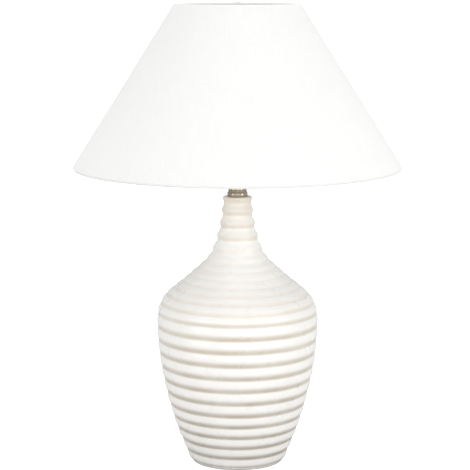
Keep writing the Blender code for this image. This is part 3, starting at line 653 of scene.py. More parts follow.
def turned(name, outline, steps=64, axis=(0.0, 0.0, 1.0), centre=(0.0, 0.0, 0.0), closed=True,
           sharp=40.0):
    """Spin an outline of (radius, distance along the axis) points round an axis."""
    axis = Vector(axis)
    side = Vector((1.0, 0.0, 0.0)) if axis.x == 0.0 else Vector((0.0, 1.0, 0.0))
    places = [Vector(centre) + side * radius + axis * along for radius, along in outline]
    if closed:
        places.append(places[0])
    piece = named(draw_line(places), name)
    bpy.ops.mesh.select_all(action="SELECT")
    bpy.ops.mesh.spin(steps=steps, angle=2 * pi, center=centre, axis=axis)
    return close_up(piece, sharp)


def shape_with(piece, tool, operation):
    """Cut the piece by the tool, or join or keep what they share, and remove the tool."""
    clear_selection()
    bpy.context.view_layer.objects.active = piece
    bpy.ops.object.modifier_add(type="BOOLEAN")
    modifier = piece.modifiers[-1]
    modifier.operation = operation
    modifier.solver = "EXACT"
    modifier.object = tool
    bpy.ops.object.modifier_apply(modifier=modifier.name)
    bpy.data.objects.remove(tool)
    piece.select_set(True)
    bpy.ops.object.shade_smooth_by_angle(angle=radians(40.0))
    return piece


def thicken(sheet, thickness):
    """Give a sheet its thickness, half to each side."""
    bpy.ops.object.modifier_add(type="SOLIDIFY")
    solid = sheet.modifiers[-1]
    solid.thickness = thickness
    solid.offset = 0.0
    bpy.ops.object.modifier_apply(modifier=solid.name)
    return sheet


def narrow_by(vertex, shrink):
    """Scale a point's distance from the lamp's axis."""
    vertex.co.x *= shrink
    vertex.co.y *= shrink


def install(piece, body, slot, material, *nodes):
    """Give a finished piece its material and body, and hide the frame nodes that it stands for. The slot
    argument is not used.
    """
    clear_selection()
    piece.data.materials.clear()
    piece.data.materials.append(material)
    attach(piece, body)
    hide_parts(*nodes)
    print(piece.name, "-", len(piece.data.polygons), "faces on", body)
    return piece


def heights(node):
    """Lowest and highest height of a frame node."""
    low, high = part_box(node)
    return low.z, high.z


def reach(node):
    """Largest distance of a turned frame node from the lamp's axis."""
    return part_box(node)[1].x


print("turning helpers ready")

# %% [markdown]
# ## The ribbed body
# The potter throws the body as one smooth swelling form and then runs a tool up it, which leaves 24 ribs.
# Each rib stands out most below its middle, so its underside is short and falls in shade. The ribs are evenly
# spaced along the wall and not in height, which is why they look closer together on the sloping shoulder. The
# smooth line passes through a few chosen stations, and the ribs are worked out along it by a formula.

# %% The body's smooth line
BELLY_RADIUS = 111.4 * MM
BELLY_HEIGHT = 190.0 * MM
FOOT_RADIUS = 66.0 * MM
MOUTH_RADIUS = 20.5 * MM
FLANK_LINE = ((0.305, 0.491), (0.658, 0.855))
SHOULDER_LINE = ((0.202, 0.919), (0.399, 0.495), (0.528, 0.233), (0.618, 0.138), (0.809, 0.036))

body_bottom, body_top = heights("ceramic_body")
BODY_HEIGHT = body_top - body_bottom


def body_stations():
    """Points (height over the foot, radius over the rib crests) that the line passes through."""
    stations = [(0.0, FOOT_RADIUS)]
    stations += [(rise * BELLY_HEIGHT, FOOT_RADIUS + swell * (BELLY_RADIUS - FOOT_RADIUS))
                 for rise, swell in FLANK_LINE]
    stations.append((BELLY_HEIGHT, BELLY_RADIUS))
    stations += [(BELLY_HEIGHT + rise * (BODY_HEIGHT - BELLY_HEIGHT),
                  MOUTH_RADIUS + swell * (BELLY_RADIUS - MOUTH_RADIUS)) for rise, swell in SHOULDER_LINE]
    return stations + [(BODY_HEIGHT, MOUTH_RADIUS)]


STATIONS = body_stations()


def station_slope(i):
    """Slope of the line at a station, from its neighbours."""
    low = STATIONS[max(i - 1, 0)]
    high = STATIONS[min(i + 1, len(STATIONS) - 1)]
    return (high[1] - low[1]) / (high[0] - low[0])


def ease(start, start_pull, end, end_pull, t):
    """A smooth step from start to end that leaves and arrives with the given pulls."""
    return ((2 * t**3 - 3 * t**2 + 1) * start + (t**3 - 2 * t**2 + t) * start_pull
            + (3 * t**2 - 2 * t**3) * end + (t**3 - t**2) * end_pull)


def body_radius(height):
    """Radius of the crest line at a height over the foot."""
    i = 0
    while i < len(STATIONS) - 2 and height > STATIONS[i + 1][0]:
        i += 1
    (low, start), (high, end) = STATIONS[i], STATIONS[i + 1]
    span = high - low
    return ease(start, station_slope(i) * span, end, station_slope(i + 1) * span, (height - low) / span)


print("body:", round(BODY_HEIGHT / MM, 1), "mm high, belly", round(2 * BELLY_RADIUS / MM, 1), "mm across")

# %% The ribs along the line
RIB_DEPTH_BODY = 1.6 * MM
RIB_DEPTH_NECK = 2.5 * MM
RIB_SHARPNESS_NECK = 2.3      # over 1, the ribs are narrow collars with wide hollows between them
RIB_CREST = 0.57              # where a rib stands out most, as a share of it from its top
RIB_ZONES = ((4, 1.06), (8, 0.88), (7, 1.12), (5, 1.04))
MOUTH_PHASE = 0.47
RIB_STEPS = 14
GLAZE_FILL = 0.08             # how far glaze fills the bottom of a groove, as a share of its depth


def neck_share(radius):
    """1 at the mouth's radius, and 0 from three times that radius outwards."""
    return min(max((3 * MOUTH_RADIUS - radius) / (2 * MOUTH_RADIUS), 0.0), 1.0)


def under_crest(radius, phase):
    """How far the surface lies under the crest line. Ribs stand out most on the narrow neck."""
    share = neck_share(radius)
    depth = RIB_DEPTH_BODY + (RIB_DEPTH_NECK - RIB_DEPTH_BODY) * share
    sharpness = 1 + (RIB_SHARPNESS_NECK - 1) * share
    swell = abs(sin(pi * phase ** (log(0.5) / log(RIB_CREST)))) ** sharpness
    return depth * (1 - min(1.0, hypot(swell, GLAZE_FILL)))


def walk_line(steps=600):
    """Heights down the line from the mouth, with the distance walked to each."""
    walked = [(0.0, BODY_HEIGHT)]
    for i in range(1, steps + 1):
        height = BODY_HEIGHT * (1 - i / steps)
        distance, last = walked[-1]
        walked.append((distance + hypot(last - height, body_radius(last) - body_radius(height)), height))
    return walked


def rib_places(total):
    """(distance walked, phase in the rib) of every outline point, from the mouth down."""
    mouth_band = 1 - MOUTH_PHASE
    unit = total / (mouth_band + sum(count * spacing for count, spacing in RIB_ZONES))
    half = RIB_STEPS // 2
    places = [(mouth_band * unit * i / half, MOUTH_PHASE + mouth_band * i / half) for i in range(half)]
    start = mouth_band * unit
    for count, spacing in RIB_ZONES:
        for _ in range(count):
            places += [(start + spacing * unit * i / RIB_STEPS, i / RIB_STEPS) for i in range(RIB_STEPS)]
            start += spacing * unit
    return places + [(total, 1.0)]


def ribbed_outline():
    """The ribbed outer line as (radius, height), from the mouth down, and each point's phase in its rib."""
    walked = walk_line()
    outline = []
    phases = []
    i = 0
    for distance, phase in rib_places(walked[-1][0]):
        while i < len(walked) - 2 and walked[i + 1][0] < distance:
            i += 1
        (before, high), (after, low) = walked[i], walked[i + 1]
        height = high + (low - high) * (distance - before) / (after - before)
        radius = body_radius(height)
        outline.append((radius - under_crest(radius, phase), body_bottom + height))
        phases.append(phase)
    return outline, phases


ribs, rib_phases = ribbed_outline()
print("rib outline:", len(ribs), "points for", sum(count for count, _ in RIB_ZONES),
      "ribs and the mouth band")

# %% [markdown]
# The spun form is perfect, and a thrown pot isn't. A slow noise moves each point in or out by a few tenths of
# a millimetre, which is enough to make the highlights waver. The foot ring stands on a rounded edge, the
# underside is a plain recess, and a drill hole through the back of the ring lets the cord out.

# %% The body's mesh
BODY_STEPS = 160
INSIDE_STEPS = 12
WALL = 7.0 * MM
LIP_DEPTH = 12.0 * MM
MOUTH_BORE = 9.5 * MM
MOUTH_ROUNDING = 2.0 * MM
FLOOR_THICKNESS = 8.0 * MM
RECESS_RADIUS = 50.0 * MM
FOOT_ROUNDING = 1.6 * MM
WOBBLE = 0.35 * MM
# Where the darker colour under a rib starts, is full and ends, and how far collars carry it up: pooled glaze
# and painted shade of the undersides.
POOL_AND_SHADE_START = 0.5
POOL_AND_SHADE_FULL = 0.9
POOL_AND_SHADE_END = 0.14
POOL_AND_SHADE_LIFT = 0.15
rib_drops = [body_top - height for _, height in ribs]
CLEARANCE = 0.3 * MM
bush_low, bush_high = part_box("cord_bush")
bush_height = (bush_low.z + bush_high.z) / 2
floor_under = heights("clamp_plate")[1] + CLEARANCE
rod_hole = reach("threaded_rod") + CLEARANCE


def body_outline():
    """The whole wall: ribs, foot ring, recess, floor, plain inside and mouth."""
    inside = []
    inside_foot = floor_under + FLOOR_THICKNESS
    lip_bottom = body_top - LIP_DEPTH
    for i in range(INSIDE_STEPS + 1):
        height = inside_foot + (lip_bottom - inside_foot) * i / INSIDE_STEPS
        inside.append((body_radius(height - body_bottom) - RIB_DEPTH_BODY - WALL, height))
    foot_edge = ribs[-1][0]
    foot = rounded([(foot_edge + MM, body_bottom + 3 * FOOT_ROUNDING, 0.0),
                    (foot_edge, body_bottom, FOOT_ROUNDING),
                    (RECESS_RADIUS, body_bottom, FOOT_ROUNDING), (RECESS_RADIUS, floor_under, 3 * MM),
                    (rod_hole, floor_under, MM / 2), (rod_hole, inside_foot, MM / 2)])[1:]
    mouth = rounded([(MOUTH_BORE, lip_bottom, MM), (MOUTH_BORE, body_top, MM),
                     (ribs[0][0], body_top, MOUTH_ROUNDING),
                     (ribs[0][0], body_top - 2 * MOUTH_ROUNDING, 0.0)])
    wall_foot, wall_top = body_bottom + 2 * FOOT_ROUNDING, body_top - 1.6 * MOUTH_ROUNDING
    wall = [point for point in ribs if wall_foot < point[1] < wall_top]
    return wall + foot + inside + mouth[:-1]


def phase_at(height):
    """Where a height lies in its rib, from 0 at the rib's top to 1 in the groove under it."""
    i = min(max(bisect(rib_drops, body_top - height), 1), len(ribs) - 1)
    before, after = rib_phases[i - 1], rib_phases[i]
    if after < before:
        after = 1.0
    share = (body_top - height - rib_drops[i - 1]) / (rib_drops[i] - rib_drops[i - 1])
    return before + (after - before) * min(share, 1.0)


def pool_and_shade_depth(phase, radius):
    """How dark the colour under a rib is, as pooled glaze and painted shade of the underside: it gathers
    slowly below the crest and stops short at the next rib. Collars carry it higher.
    """
    phase = (phase + POOL_AND_SHADE_LIFT * neck_share(radius)) % 1.0
    if phase > POOL_AND_SHADE_START:
        rise = (phase - POOL_AND_SHADE_START) / (POOL_AND_SHADE_FULL - POOL_AND_SHADE_START)
        return ease(0.0, 0.0, 1.0, 0.0, min(rise, 1.0))
    return ease(1.0, 0.0, 0.0, 0.0, min(phase / POOL_AND_SHADE_END, 1.0))


def wobble(piece):
    """Move the outside in and out a little, and note at each point how much pooled glaze and painted shade it
    gets.
    """
    pool_and_shade = piece.data.attributes.new("pool_and_shade", "FLOAT", "POINT")
    for vertex, mark in zip(piece.data.vertices, pool_and_shade.data):
        x, y, z = vertex.co
        away = hypot(x, y)
        crest = body_radius(min(max(z - body_bottom, 0.0), BODY_HEIGHT))
        if crest - away > WALL / 2 or z < body_bottom + FOOT_ROUNDING:
            continue
        mark.value = pool_and_shade_depth(phase_at(z), crest)
        if body_bottom + 3 * FOOT_ROUNDING < z < body_top - 2 * MOUTH_ROUNDING:
            shift = WOBBLE * noise.noise(Vector((x * 11, y * 11, z * 60)))
            shift += WOBBLE * noise.noise(Vector((x * 30, y * 30, z * 22))) / 2
            vertex.co.x += x / away * shift
            vertex.co.y += y / away * shift


lamp_body = turned("ribbed_body", body_outline(), BODY_STEPS)
wobble(lamp_body)
cord_drill = cylinder(bush_high.z - bush_height - 1.5 * MM, 60 * MM, (0.0, FOOT_RADIUS, bush_height),
                      (pi / 2, 0.0, 0.0))
shape_with(lamp_body, cord_drill, "DIFFERENCE")
install(lamp_body, "lamp_base", "glazed_body", cream_glaze, "ceramic_body")

# %% [markdown]
# ## What holds the body
# Under the foot, a felt ring keeps the glaze off the table. A steel plate, a toothed washer and a nut pull
# the threaded rod down, and a plastic bush lines the hole where a cord would leave. The nut is a six-sided
# prism cut by a turned lens, which gives it the curved corners of a real nut, and then bored.

# %% Felt ring and cord bush
def make_felt_ring():
    """A soft ring with uneven, slightly crushed edges."""
    low, high = heights("base_felt")
    outer = reach("base_felt")
    inner = outer - 10 * MM
    corners = [(outer, high, 0.5 * MM), (outer, low, 0.5 * MM), (inner, low, 0.5 * MM),
               (inner, high, 0.5 * MM)]
    ring = turned("felt_ring", rounded(corners), 128)
    for vertex in ring.data.vertices:
        away = hypot(vertex.co.x, vertex.co.y)
        shift = 0.3 * MM * noise.noise(vertex.co * 400)
        vertex.co.x += vertex.co.x / away * shift
        vertex.co.y += vertex.co.y / away * shift
    return ring


def make_cord_bush():
    """A flanged tube pushed out through the foot ring."""
    flange, tube, bore = (bush_high.z - bush_low.z) / 2, 4.5 * MM, 3.5 * MM
    back, seat = bush_low.y, bush_low.y + 1.5 * MM
    corners = [(tube, bush_high.y, 0.4 * MM), (tube, seat, 0.2 * MM), (flange, seat, 0.4 * MM),
               (flange, back, 0.4 * MM), (bore, back, 0.6 * MM), (bore, bush_high.y, 0.6 * MM)]
    return turned("bush_for_cord", rounded(corners), 40, (0.0, 1.0, 0.0), (0.0, 0.0, bush_height))


install(make_felt_ring(), "lamp_base", "felt", grey_felt, "base_felt")
install(make_cord_bush(), "lamp_base", "white_plastic", soft_plastic, "cord_bush")

# %% [markdown]
# A screw thread is a helix: at each turn of the angle, the groove has moved on by one pitch. Any turned piece
# with close rows of points can be threaded by moving each point in by how far it is from the crest of that
# helix. One helper does it for the rod, the holder's sleeve and the bulb's cap.

# %% Threads, plates and nuts
ROD_PITCH, ROD_THREAD = 1.0 * MM, 0.45 * MM
HOLDER_PITCH, HOLDER_THREAD = 2.7 * MM, 0.7 * MM
BULB_PITCH, BULB_THREAD = 3.6 * MM, 0.85 * MM


def close_rows(radius, top, bottom, spacing):
    """A straight stretch of an outline, going down, with a point at every spacing."""
    count = max(2, round((top - bottom) / spacing))
    return [(radius, top + (bottom - top) * i / count) for i in range(count + 1)]


def cut_thread(piece, bottom, top, crest, depth, pitch):
    """Move the outer points between two heights on to a rounded helical thread."""
    for vertex in piece.data.vertices:
        x, y, z = vertex.co
        away = hypot(x, y)
        if away > crest - 0.05 * MM and bottom < z < top:
            turn = z / pitch - atan2(y, x) / (2 * pi)
            fade = min(1.0, (z - bottom) / pitch, (top - z) / pitch)
            radius = away - depth * fade * (1 - cos(2 * pi * turn)) / 2
            narrow_by(vertex, radius / away)


def make_rod():
    """The hollow M10 rod, threaded from end to end."""
    low, high = heights("threaded_rod")
    radius, bore = reach("threaded_rod"), 3.7 * MM
    outline = close_rows(radius, high, low, 0.25 * MM) + [(bore, low), (bore, high)]
    rod = turned("hollow_rod", outline, 24, sharp=60.0)
    cut_thread(rod, low, high, radius, ROD_THREAD, ROD_PITCH)
    return rod


def make_plate(name, node, rounding):
    """A flat turned washer or plate on the rod."""
    low, high = heights(node)
    outer = reach(node)
    corners = [(outer, high, rounding), (outer, low, rounding), (rod_hole, low, rounding / 2),
               (rod_hole, high, rounding / 2)]
    return turned(name, rounded(corners, 2), 64)


def make_toothed_washer():
    """A locking washer with eight bent teeth."""
    low, high = heights("lock_washer")
    outer = reach("lock_washer")
    teeth = 8
    corners = [(outer, high, 0.15 * MM), (outer, low, 0.15 * MM), (rod_hole, low, 0.1 * MM),
               (rod_hole, high, 0.1 * MM)]
    washer = turned("toothed_washer", rounded(corners, 2), teeth * 12)
    for vertex in washer.data.vertices:
        away = hypot(vertex.co.x, vertex.co.y)
        if away > outer * 0.8:
            notch = (1 - cos(teeth * atan2(vertex.co.y, vertex.co.x))) / 2
            narrow_by(vertex, (away - 1.2 * MM * notch) / away)
    return washer


def make_nut(name, node):
    """A six-sided prism, rounded at its corners by a turned lens and bored."""
    low, high = heights(node)
    corner = reach(node)
    nut = cylinder(corner, high - low, (0.0, 0.0, (low + high) / 2), (0.0, 0.0, pi / 2), vertices=6)
    named(nut, name)
    bpy.ops.object.transform_apply(location=True, rotation=True, scale=True)
    chamfer = 0.8 * MM
    lens = rounded([(corner - chamfer, high, 0.0), (corner + MM, high - chamfer * 1.6, 0.0),
                    (corner + MM, low + chamfer * 1.6, 0.0), (corner - chamfer, low, 0.0),
                    (rod_hole + 0.6 * MM, low, 0.0), (rod_hole, low + 0.6 * MM, 0.0),
                    (rod_hole, high - 0.6 * MM, 0.0), (rod_hole + 0.6 * MM, high, 0.0)])
    return shape_with(nut, turned("nut_lens", lens, 48), "INTERSECT")


for rod_piece, node in (
    (make_rod(), "threaded_rod"),
    (make_plate("steel_plate", "clamp_plate", 0.5 * MM), "clamp_plate"),
    (make_toothed_washer(), "lock_washer"),
    (make_nut("rod_nut_bottom", "bottom_nut"), "bottom_nut"),
    (make_plate("washer_at_mouth", "mouth_washer", 0.2 * MM), "mouth_washer"),
    (make_nut("rod_nut_top", "mouth_nut"), "mouth_nut"),
):
    install(rod_piece, "lamp_base", "zinc_steel", dull_zinc, node)

# %% [markdown]
# ## The nickel cap
# The only metal in plain sight is the small stepped cap between the glaze and the shade. It is spun from
# sheet: a straight band, a rolled shoulder, a narrow waist and a bead under its neck. Each step catches its
# own highlight, so each gets a generous rounding.

# %% Neck cap
def make_neck_cap():
    """Stepped cap spun from one millimetre sheet."""
    low, high = heights("neck_cap")
    band = reach("neck_cap")
    neck = band - 2 * MM
    sheet = MM
    band_top = low + 4.6 * MM
    corners = [
        (neck - 1.2 * MM, high, 0.6 * MM),
        (neck, high - 1.2 * MM, 0.8 * MM),
        (neck, band_top + 4.6 * MM, 0.5 * MM),
        (neck + 0.7 * MM, band_top + 4.0 * MM, 0.5 * MM),
        (neck + 0.5 * MM, band_top + 3.0 * MM, 0.5 * MM),
        (neck + 0.9 * MM, band_top + 1.6 * MM, 0.9 * MM),
        (band, band_top, 0.9 * MM),
        (band, low, 0.3 * MM),
        (band - sheet, low, 0.3 * MM),
        (band - sheet, band_top, 0.5 * MM),
        (neck - sheet, band_top + 3.0 * MM, 0.5 * MM),
        (neck - sheet, high - 1.6 * MM, 0.5 * MM),
        (rod_hole, high - sheet, 0.0),
        (rod_hole, high, 0.3 * MM),
    ]
    return turned("stepped_cap", rounded(corners, 5), 96)


install(make_neck_cap(), "lamp_base", "nickel", warm_nickel, "neck_cap")

# %% [markdown]
# ## The lampholder
# Inside the shade, a nickel cup with a domed floor screws to the rod and is locked by a grub screw. It holds
# the switch and an insulating block. A white sleeve stands in the cup: its shoulder carries the shade, its
# outer thread takes the retaining ring, and its brass shell takes the bulb.

# %% Holder cup and grub screw
def quarter(centre, radii, start, end, steps=8):
    """Points on an ellipse's arc, between two angles in quarter turns."""
    angles = [(start + (end - start) * i / steps) * pi / 2 for i in range(steps + 1)]
    return [(centre[0] + radii[0] * cos(angle), centre[1] + radii[1] * sin(angle)) for angle in angles]


def make_cup():
    """Collar, domed floor, straight side with a rolled rim, and the two switch holes."""
    low, high = heights("holder_cup")
    side = reach("holder_cup")
    collar, sheet = 8.5 * MM, MM
    collar_top = low + 5 * MM
    side_foot = collar_top + 7 * MM
    dome = (side - collar, side_foot - collar_top)
    outer = [(side, high - 0.3 * MM)] + quarter((collar, side_foot), dome, 0, -1)
    outer += rounded([(collar, collar_top + MM, 0.0), (collar, low, 0.4 * MM), (rod_hole, low, 0.4 * MM),
                      (rod_hole, collar_top, 0.0)])[1:]
    hollow = quarter((collar - sheet, side_foot), (dome[0], dome[1] - sheet), -1, 0)
    rim = [(side - sheet, high - 0.3 * MM), (side - sheet + 0.3 * MM, high), (side - 0.3 * MM, high)]
    cup = turned("lampholder_cup", outer + hollow + rim, 96)
    switch_low, switch_high = heights("switch_bar")
    switch_height = (switch_low + switch_high) / 2
    switch_drill = cylinder(2.8 * MM, side * 3, (0.0, 0.0, switch_height), (0.0, pi / 2, 0.0))
    shape_with(cup, switch_drill, "DIFFERENCE")
    grub_low, grub_high = heights("grub_screw")
    bpy.ops.mesh.primitive_cylinder_add(vertices=24, radius=1.8 * MM, depth=collar,
                                        location=(0.0, collar, (grub_low + grub_high) / 2),
                                        rotation=(pi / 2, 0.0, 0.0))
    return shape_with(cup, bpy.context.object, "DIFFERENCE")


def make_grub():
    """A headless screw with a slot across its end."""
    low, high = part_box("grub_screw")
    middle_height = (low.z + high.z) / 2
    radius = (high.z - low.z) / 2
    corners = [(0.0, high.y, 0.0), (radius, high.y, 0.25 * MM), (radius, low.y, 0.25 * MM), (0.0, low.y, 0.0)]
    grub = turned("slotted_grub", rounded(corners), 24, (0.0, 1.0, 0.0), (0.0, 0.0, middle_height),
                  closed=False)
    clear_selection()
    bpy.ops.mesh.primitive_cube_add(size=1.0, location=(0.0, high.y, middle_height),
                                    scale=(4 * radius, 1.4 * MM, 0.5 * MM))
    return shape_with(grub, bpy.context.object, "DIFFERENCE")


install(make_cup(), "lamp_base", "nickel", warm_nickel, "holder_cup")
install(make_grub(), "lamp_base", "zinc_steel", dull_zinc, "grub_screw")

# %% [markdown]
# The switch is a bar pushed through the cup from either side. Its two knobs have grip rings so that a finger
# finds them under the shade.

# %% Switch bar
def make_switch_bar():
    """A bar along X with a ringed, domed knob on each end."""
    low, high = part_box("switch_bar")
    middle_height = (low.z + high.z) / 2
    knob, bar = (high.z - low.z) / 2, 2.5 * MM
    end, start = high.x, high.x - 5 * MM
    side = [(0.0, end), (knob * 0.5, end - 0.15 * MM), (knob * 0.85, end - 0.6 * MM), (knob, end - 1.3 * MM)]
    for i in range(3):
        ring = end - (1.7 + i) * MM
        side += [(knob, ring + 0.25 * MM), (knob - 0.35 * MM, ring), (knob, ring - 0.25 * MM)]
    side += [(knob, start + 0.3 * MM), (knob - 0.3 * MM, start), (bar, start)]
    outline = side + [(radius, -along) for radius, along in reversed(side)]
    return turned("push_through_bar", outline, 40, (1.0, 0.0, 0.0), (0.0, 0.0, middle_height), closed=False)


install(make_switch_bar(), "switch", "black_plastic", black_moulding, "switch_bar")

# %% Sleeve and retaining ring
def make_sleeve():
    """White sleeve with a shoulder, a coarse outer thread and a lip round the bulb's way in."""
    low, high = heights("holder_sleeve")
    shoulder, sleeve, wall = reach("holder_sleeve"), 19.2 * MM, 2 * MM
    shoulder_top = low + 8 * MM
    bore = sleeve - wall
    lip = (13.7 * MM + bore) / 2
    outline = rounded([(lip, high, 0.5 * MM), (sleeve, high, 0.8 * MM), (sleeve, high - 4 * MM, 0.0)])[:-1]
    outline += close_rows(sleeve, high - MM, shoulder_top + 0.5 * MM, 0.35 * MM)
    outline += rounded([(sleeve, shoulder_top + MM, 0.0), (sleeve, shoulder_top, 0.3 * MM),
                        (shoulder, shoulder_top, 0.5 * MM), (shoulder, shoulder_top - wall, 0.6 * MM),
                        (sleeve, shoulder_top - wall, 0.6 * MM), (sleeve, low, 0.5 * MM),
                        (bore, low, 0.4 * MM),
                        (bore, high - wall, 0.5 * MM), (lip, high - wall, 0.4 * MM), (lip, high, 0.0)])[1:-1]
    piece = turned("lampholder_sleeve", outline, 72)
    cut_thread(piece, shoulder_top + MM, high - MM, sleeve, HOLDER_THREAD, HOLDER_PITCH)
    return piece


def make_retainer():
    """A ring with sixteen rounded grips round its edge."""
    low, high = heights("retaining_ring")
    bore, outer = 19.5 * MM, reach("retaining_ring")
    grips = 16
    corners = [(outer, high - MM, 0.8 * MM), (outer, low, 0.6 * MM), (bore, low, 0.4 * MM),
               (bore, high, 0.4 * MM), (outer - 3 * MM, high, MM)]
    ring = turned("threaded_shade_ring", rounded(corners), grips * 10)
    for vertex in ring.data.vertices:
        away = hypot(vertex.co.x, vertex.co.y)
        share = max(0.0, (away - outer + 3 * MM) / (3 * MM))
        scallop = (1 - cos(grips * atan2(vertex.co.y, vertex.co.x))) / 2
        narrow_by(vertex, (away - 0.8 * MM * scallop * share) / away)
    return ring


install(make_sleeve(), "lamp_base", "white_phenolic", white_moulding, "holder_sleeve")
install(make_retainer(), "retainer", "white_phenolic", white_moulding, "retaining_ring")

# %% [markdown]
# ## The bulb
# An opal globe lamp: a ball of milky glass that sweeps into a neck, held in a threaded cap with a black glass
# insulator and a soldered tip. The glass line is a circle that changes to an easy sweep at a chosen angle, so
# there is no kink where the two meet.

# %% Bulb
BALL_RADIUS = 30.0 * MM
SWEEP_START = 0.36 * pi / 2   # where the ball's curve ends, under its widest line


def bulb_line(radius, neck, ball, cap_end):
    """From the crown down over the ball, then in an easy sweep to the neck."""
    points = [(0.0, ball + radius)]
    points += [(radius * cos(angle), ball + radius * sin(angle))
               for angle in (pi / 2 - (pi / 2 + SWEEP_START) * i / 28 for i in range(1, 29))]
    start_radius, start_height = points[-1]
    drop = start_height - cap_end
    pull = -tan(SWEEP_START) * drop
    points += [(ease(start_radius, pull, neck, 0.0, i / 12), start_height - drop * i / 12)
               for i in range(1, 13)]
    return points


def make_bulb():
    """Glass, threaded cap, insulator and tip of the bulb."""
    cap_low, cap_high = heights("bulb_cap")
    cap_radius = reach("bulb_cap")
    glass_low, glass_high = heights("bulb_glass")
    ball = glass_high - BALL_RADIUS
    neck = cap_radius - 1.0 * MM
    outer = bulb_line(BALL_RADIUS, neck, ball, cap_high)
    inner = bulb_line(BALL_RADIUS - MM, neck - MM, ball, cap_high)
    outline = outer + [(neck, glass_low), (neck - MM, glass_low)] + inner[::-1]
    glass = turned("opal_globe", outline, 96, closed=False)
    install(glass, "bulb", "opal_glass", opal_glass, "bulb_glass")
    sheet = 0.7 * MM
    outline = [(cap_radius - 0.4 * MM, cap_high), (cap_radius, cap_high - 0.4 * MM)]
    outline += close_rows(cap_radius, cap_high - 1.2 * MM, cap_low + MM, 0.45 * MM)
    outline += [(cap_radius - 0.5 * MM, cap_low), (cap_radius - sheet - 0.9 * MM, cap_low),
                (cap_radius - sheet - 0.9 * MM, cap_high)]
    cap = turned("bulb_screw_cap", outline, 72)
    cut_thread(cap, cap_low + 0.4 * MM, cap_high - 2.5 * MM, cap_radius, BULB_THREAD, BULB_PITCH)
    install(cap, "bulb", "nickel", dull_zinc, "bulb_cap")
    low, high = heights("bulb_insulator")
    wide, narrow = reach("bulb_insulator"), reach("bulb_tip")
    corners = [(0.0, high, 0.0), (wide, high, 0.4 * MM), (wide - 0.4 * MM, high - 0.8 * MM, 0.5 * MM),
               (narrow, low, 0.4 * MM), (0.0, low, 0.0)]
    insulator = turned("bulb_glass_insulator", rounded(corners), 48, closed=False)
    install(insulator, "bulb", "black_glass", black_glass, "bulb_insulator")
    low, high = heights("bulb_tip")
    corners = [(0.0, high, 0.0), (narrow, high, 0.3 * MM), (narrow * 0.75, low + 0.1 * MM, 0.5 * MM),
               (0.0, low, 0.0)]
    tip = turned("bulb_solder_tip", rounded(corners), 32, closed=False)
    install(tip, "bulb", "zinc_steel", dull_zinc, "bulb_tip")


make_bulb()

# %% [markdown]
# ## The shade's carrier
# A flat ring sits on the holder's shoulder, and three straight wires run from it to the wire in the shade's
# lower edge. The joints are spot welds, which leave a small swelling. Each arm is a cylinder laid along its
# line, with its ends grown and rounded into welds.

# %% Carrier ring, wires and arms
ARM_COUNT = 3
ARM_RADIUS = 1.5 * MM
WELD_RADIUS = 2.1 * MM


def make_fitter_ring():
    """The flat ring, stamped with a raised bead round its middle."""
    low, high = heights("fitter_ring")
    bore, outer = 20.0 * MM, reach("fitter_ring")
    middle_radius = (bore + outer) / 2
    bead = quarter((middle_radius, high - 0.15 * MM), (1.6 * MM, 0.15 * MM), 2, 0, 8)
    flat = high - 0.3 * MM
    outline = bead + rounded([(middle_radius, flat, 0.0), (outer, flat, 0.6 * MM), (outer, low, 0.6 * MM),
                              (bore, low, 0.6 * MM), (bore, flat, 0.6 * MM)])[1:]
    return turned("carrier_ring", outline, 96)


def make_ring_wire(name, node):
    """A round wire bent to a ring."""
    low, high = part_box(node)
    thickness = (high.z - low.z) / 2
    middle_radius = high.x - thickness
    outline = quarter((middle_radius, (low.z + high.z) / 2), (thickness, thickness), 0, -4, 16)[:-1]
    return turned(name, outline, 144)


def make_arm(index):
    """A straight wire from the ring to the lower edge, with a weld at each end."""
    node = "fitter_arm_" + str(index + 1)
    angle = pi / 2 + 2 * pi * index / ARM_COUNT
    away = Vector((cos(angle), sin(angle), 0.0))
    ring_low, ring_high = heights("fitter_ring")
    wire_low, wire_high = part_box("shade_bottom_wire")
    wire_thickness = (wire_high.z - wire_low.z) / 2
    start = away * (reach("fitter_ring") - 0.5 * MM) + Vector((0.0, 0.0, (ring_low + ring_high) / 2))
    end = away * (wire_high.x - 2 * wire_thickness + 0.4 * MM)
    end.z = (wire_low.z + wire_high.z) / 2
    line = end - start
    turn = line.to_track_quat("Z", "Y").to_euler()
    arm = cylinder(ARM_RADIUS, line.length, (start + end) / 2, turn, vertices=20)
    named(arm, "carrier_arm_" + str(index + 1))
    bpy.ops.object.transform_apply(location=True, rotation=True, scale=True)
    for place in (start, end):
        clear_selection()
        bpy.ops.mesh.primitive_uv_sphere_add(segments=20, ring_count=12, radius=WELD_RADIUS, location=place,
                                             scale=(1.25, 1.25, 0.75))
        weld = bpy.context.object
        bpy.ops.object.transform_apply(location=True, rotation=True, scale=True)
        shape_with(arm, weld, "UNION")
    return install(arm, "shade", "white_enamel", white_enamel, node)


install(make_fitter_ring(), "shade", "white_enamel", white_enamel, "fitter_ring")
for wire_name, node in (("top_edge_wire", "shade_top_wire"), ("bottom_edge_wire", "shade_bottom_wire")):
    install(make_ring_wire(wire_name, node), "shade", "white_enamel", white_enamel, node)
for arm_index in range(ARM_COUNT):
    make_arm(arm_index)

# %% [markdown]
# ## The cloth of the shade
# The cloth is one continuous sheet. Seen in section it starts inside the lower edge, wraps under the wire,
# runs straight up the outside and wraps over the upper wire to end inside. Spinning that section gives the
# sheet, and Solidify gives it its thickness. Each point of the section carries its distance from the tip of
# the cone, measured along the cloth, and from that and the angle the flat pattern is worked out for the UV
# map.

# %% The section of the cloth
SHADE_STEPS = 144
CLOTH = 0.5 * MM
FILM = 0.3 * MM
TURN_IN = 7.0 * MM            # cloth turned in beyond each wire
ROWS_UP = 40

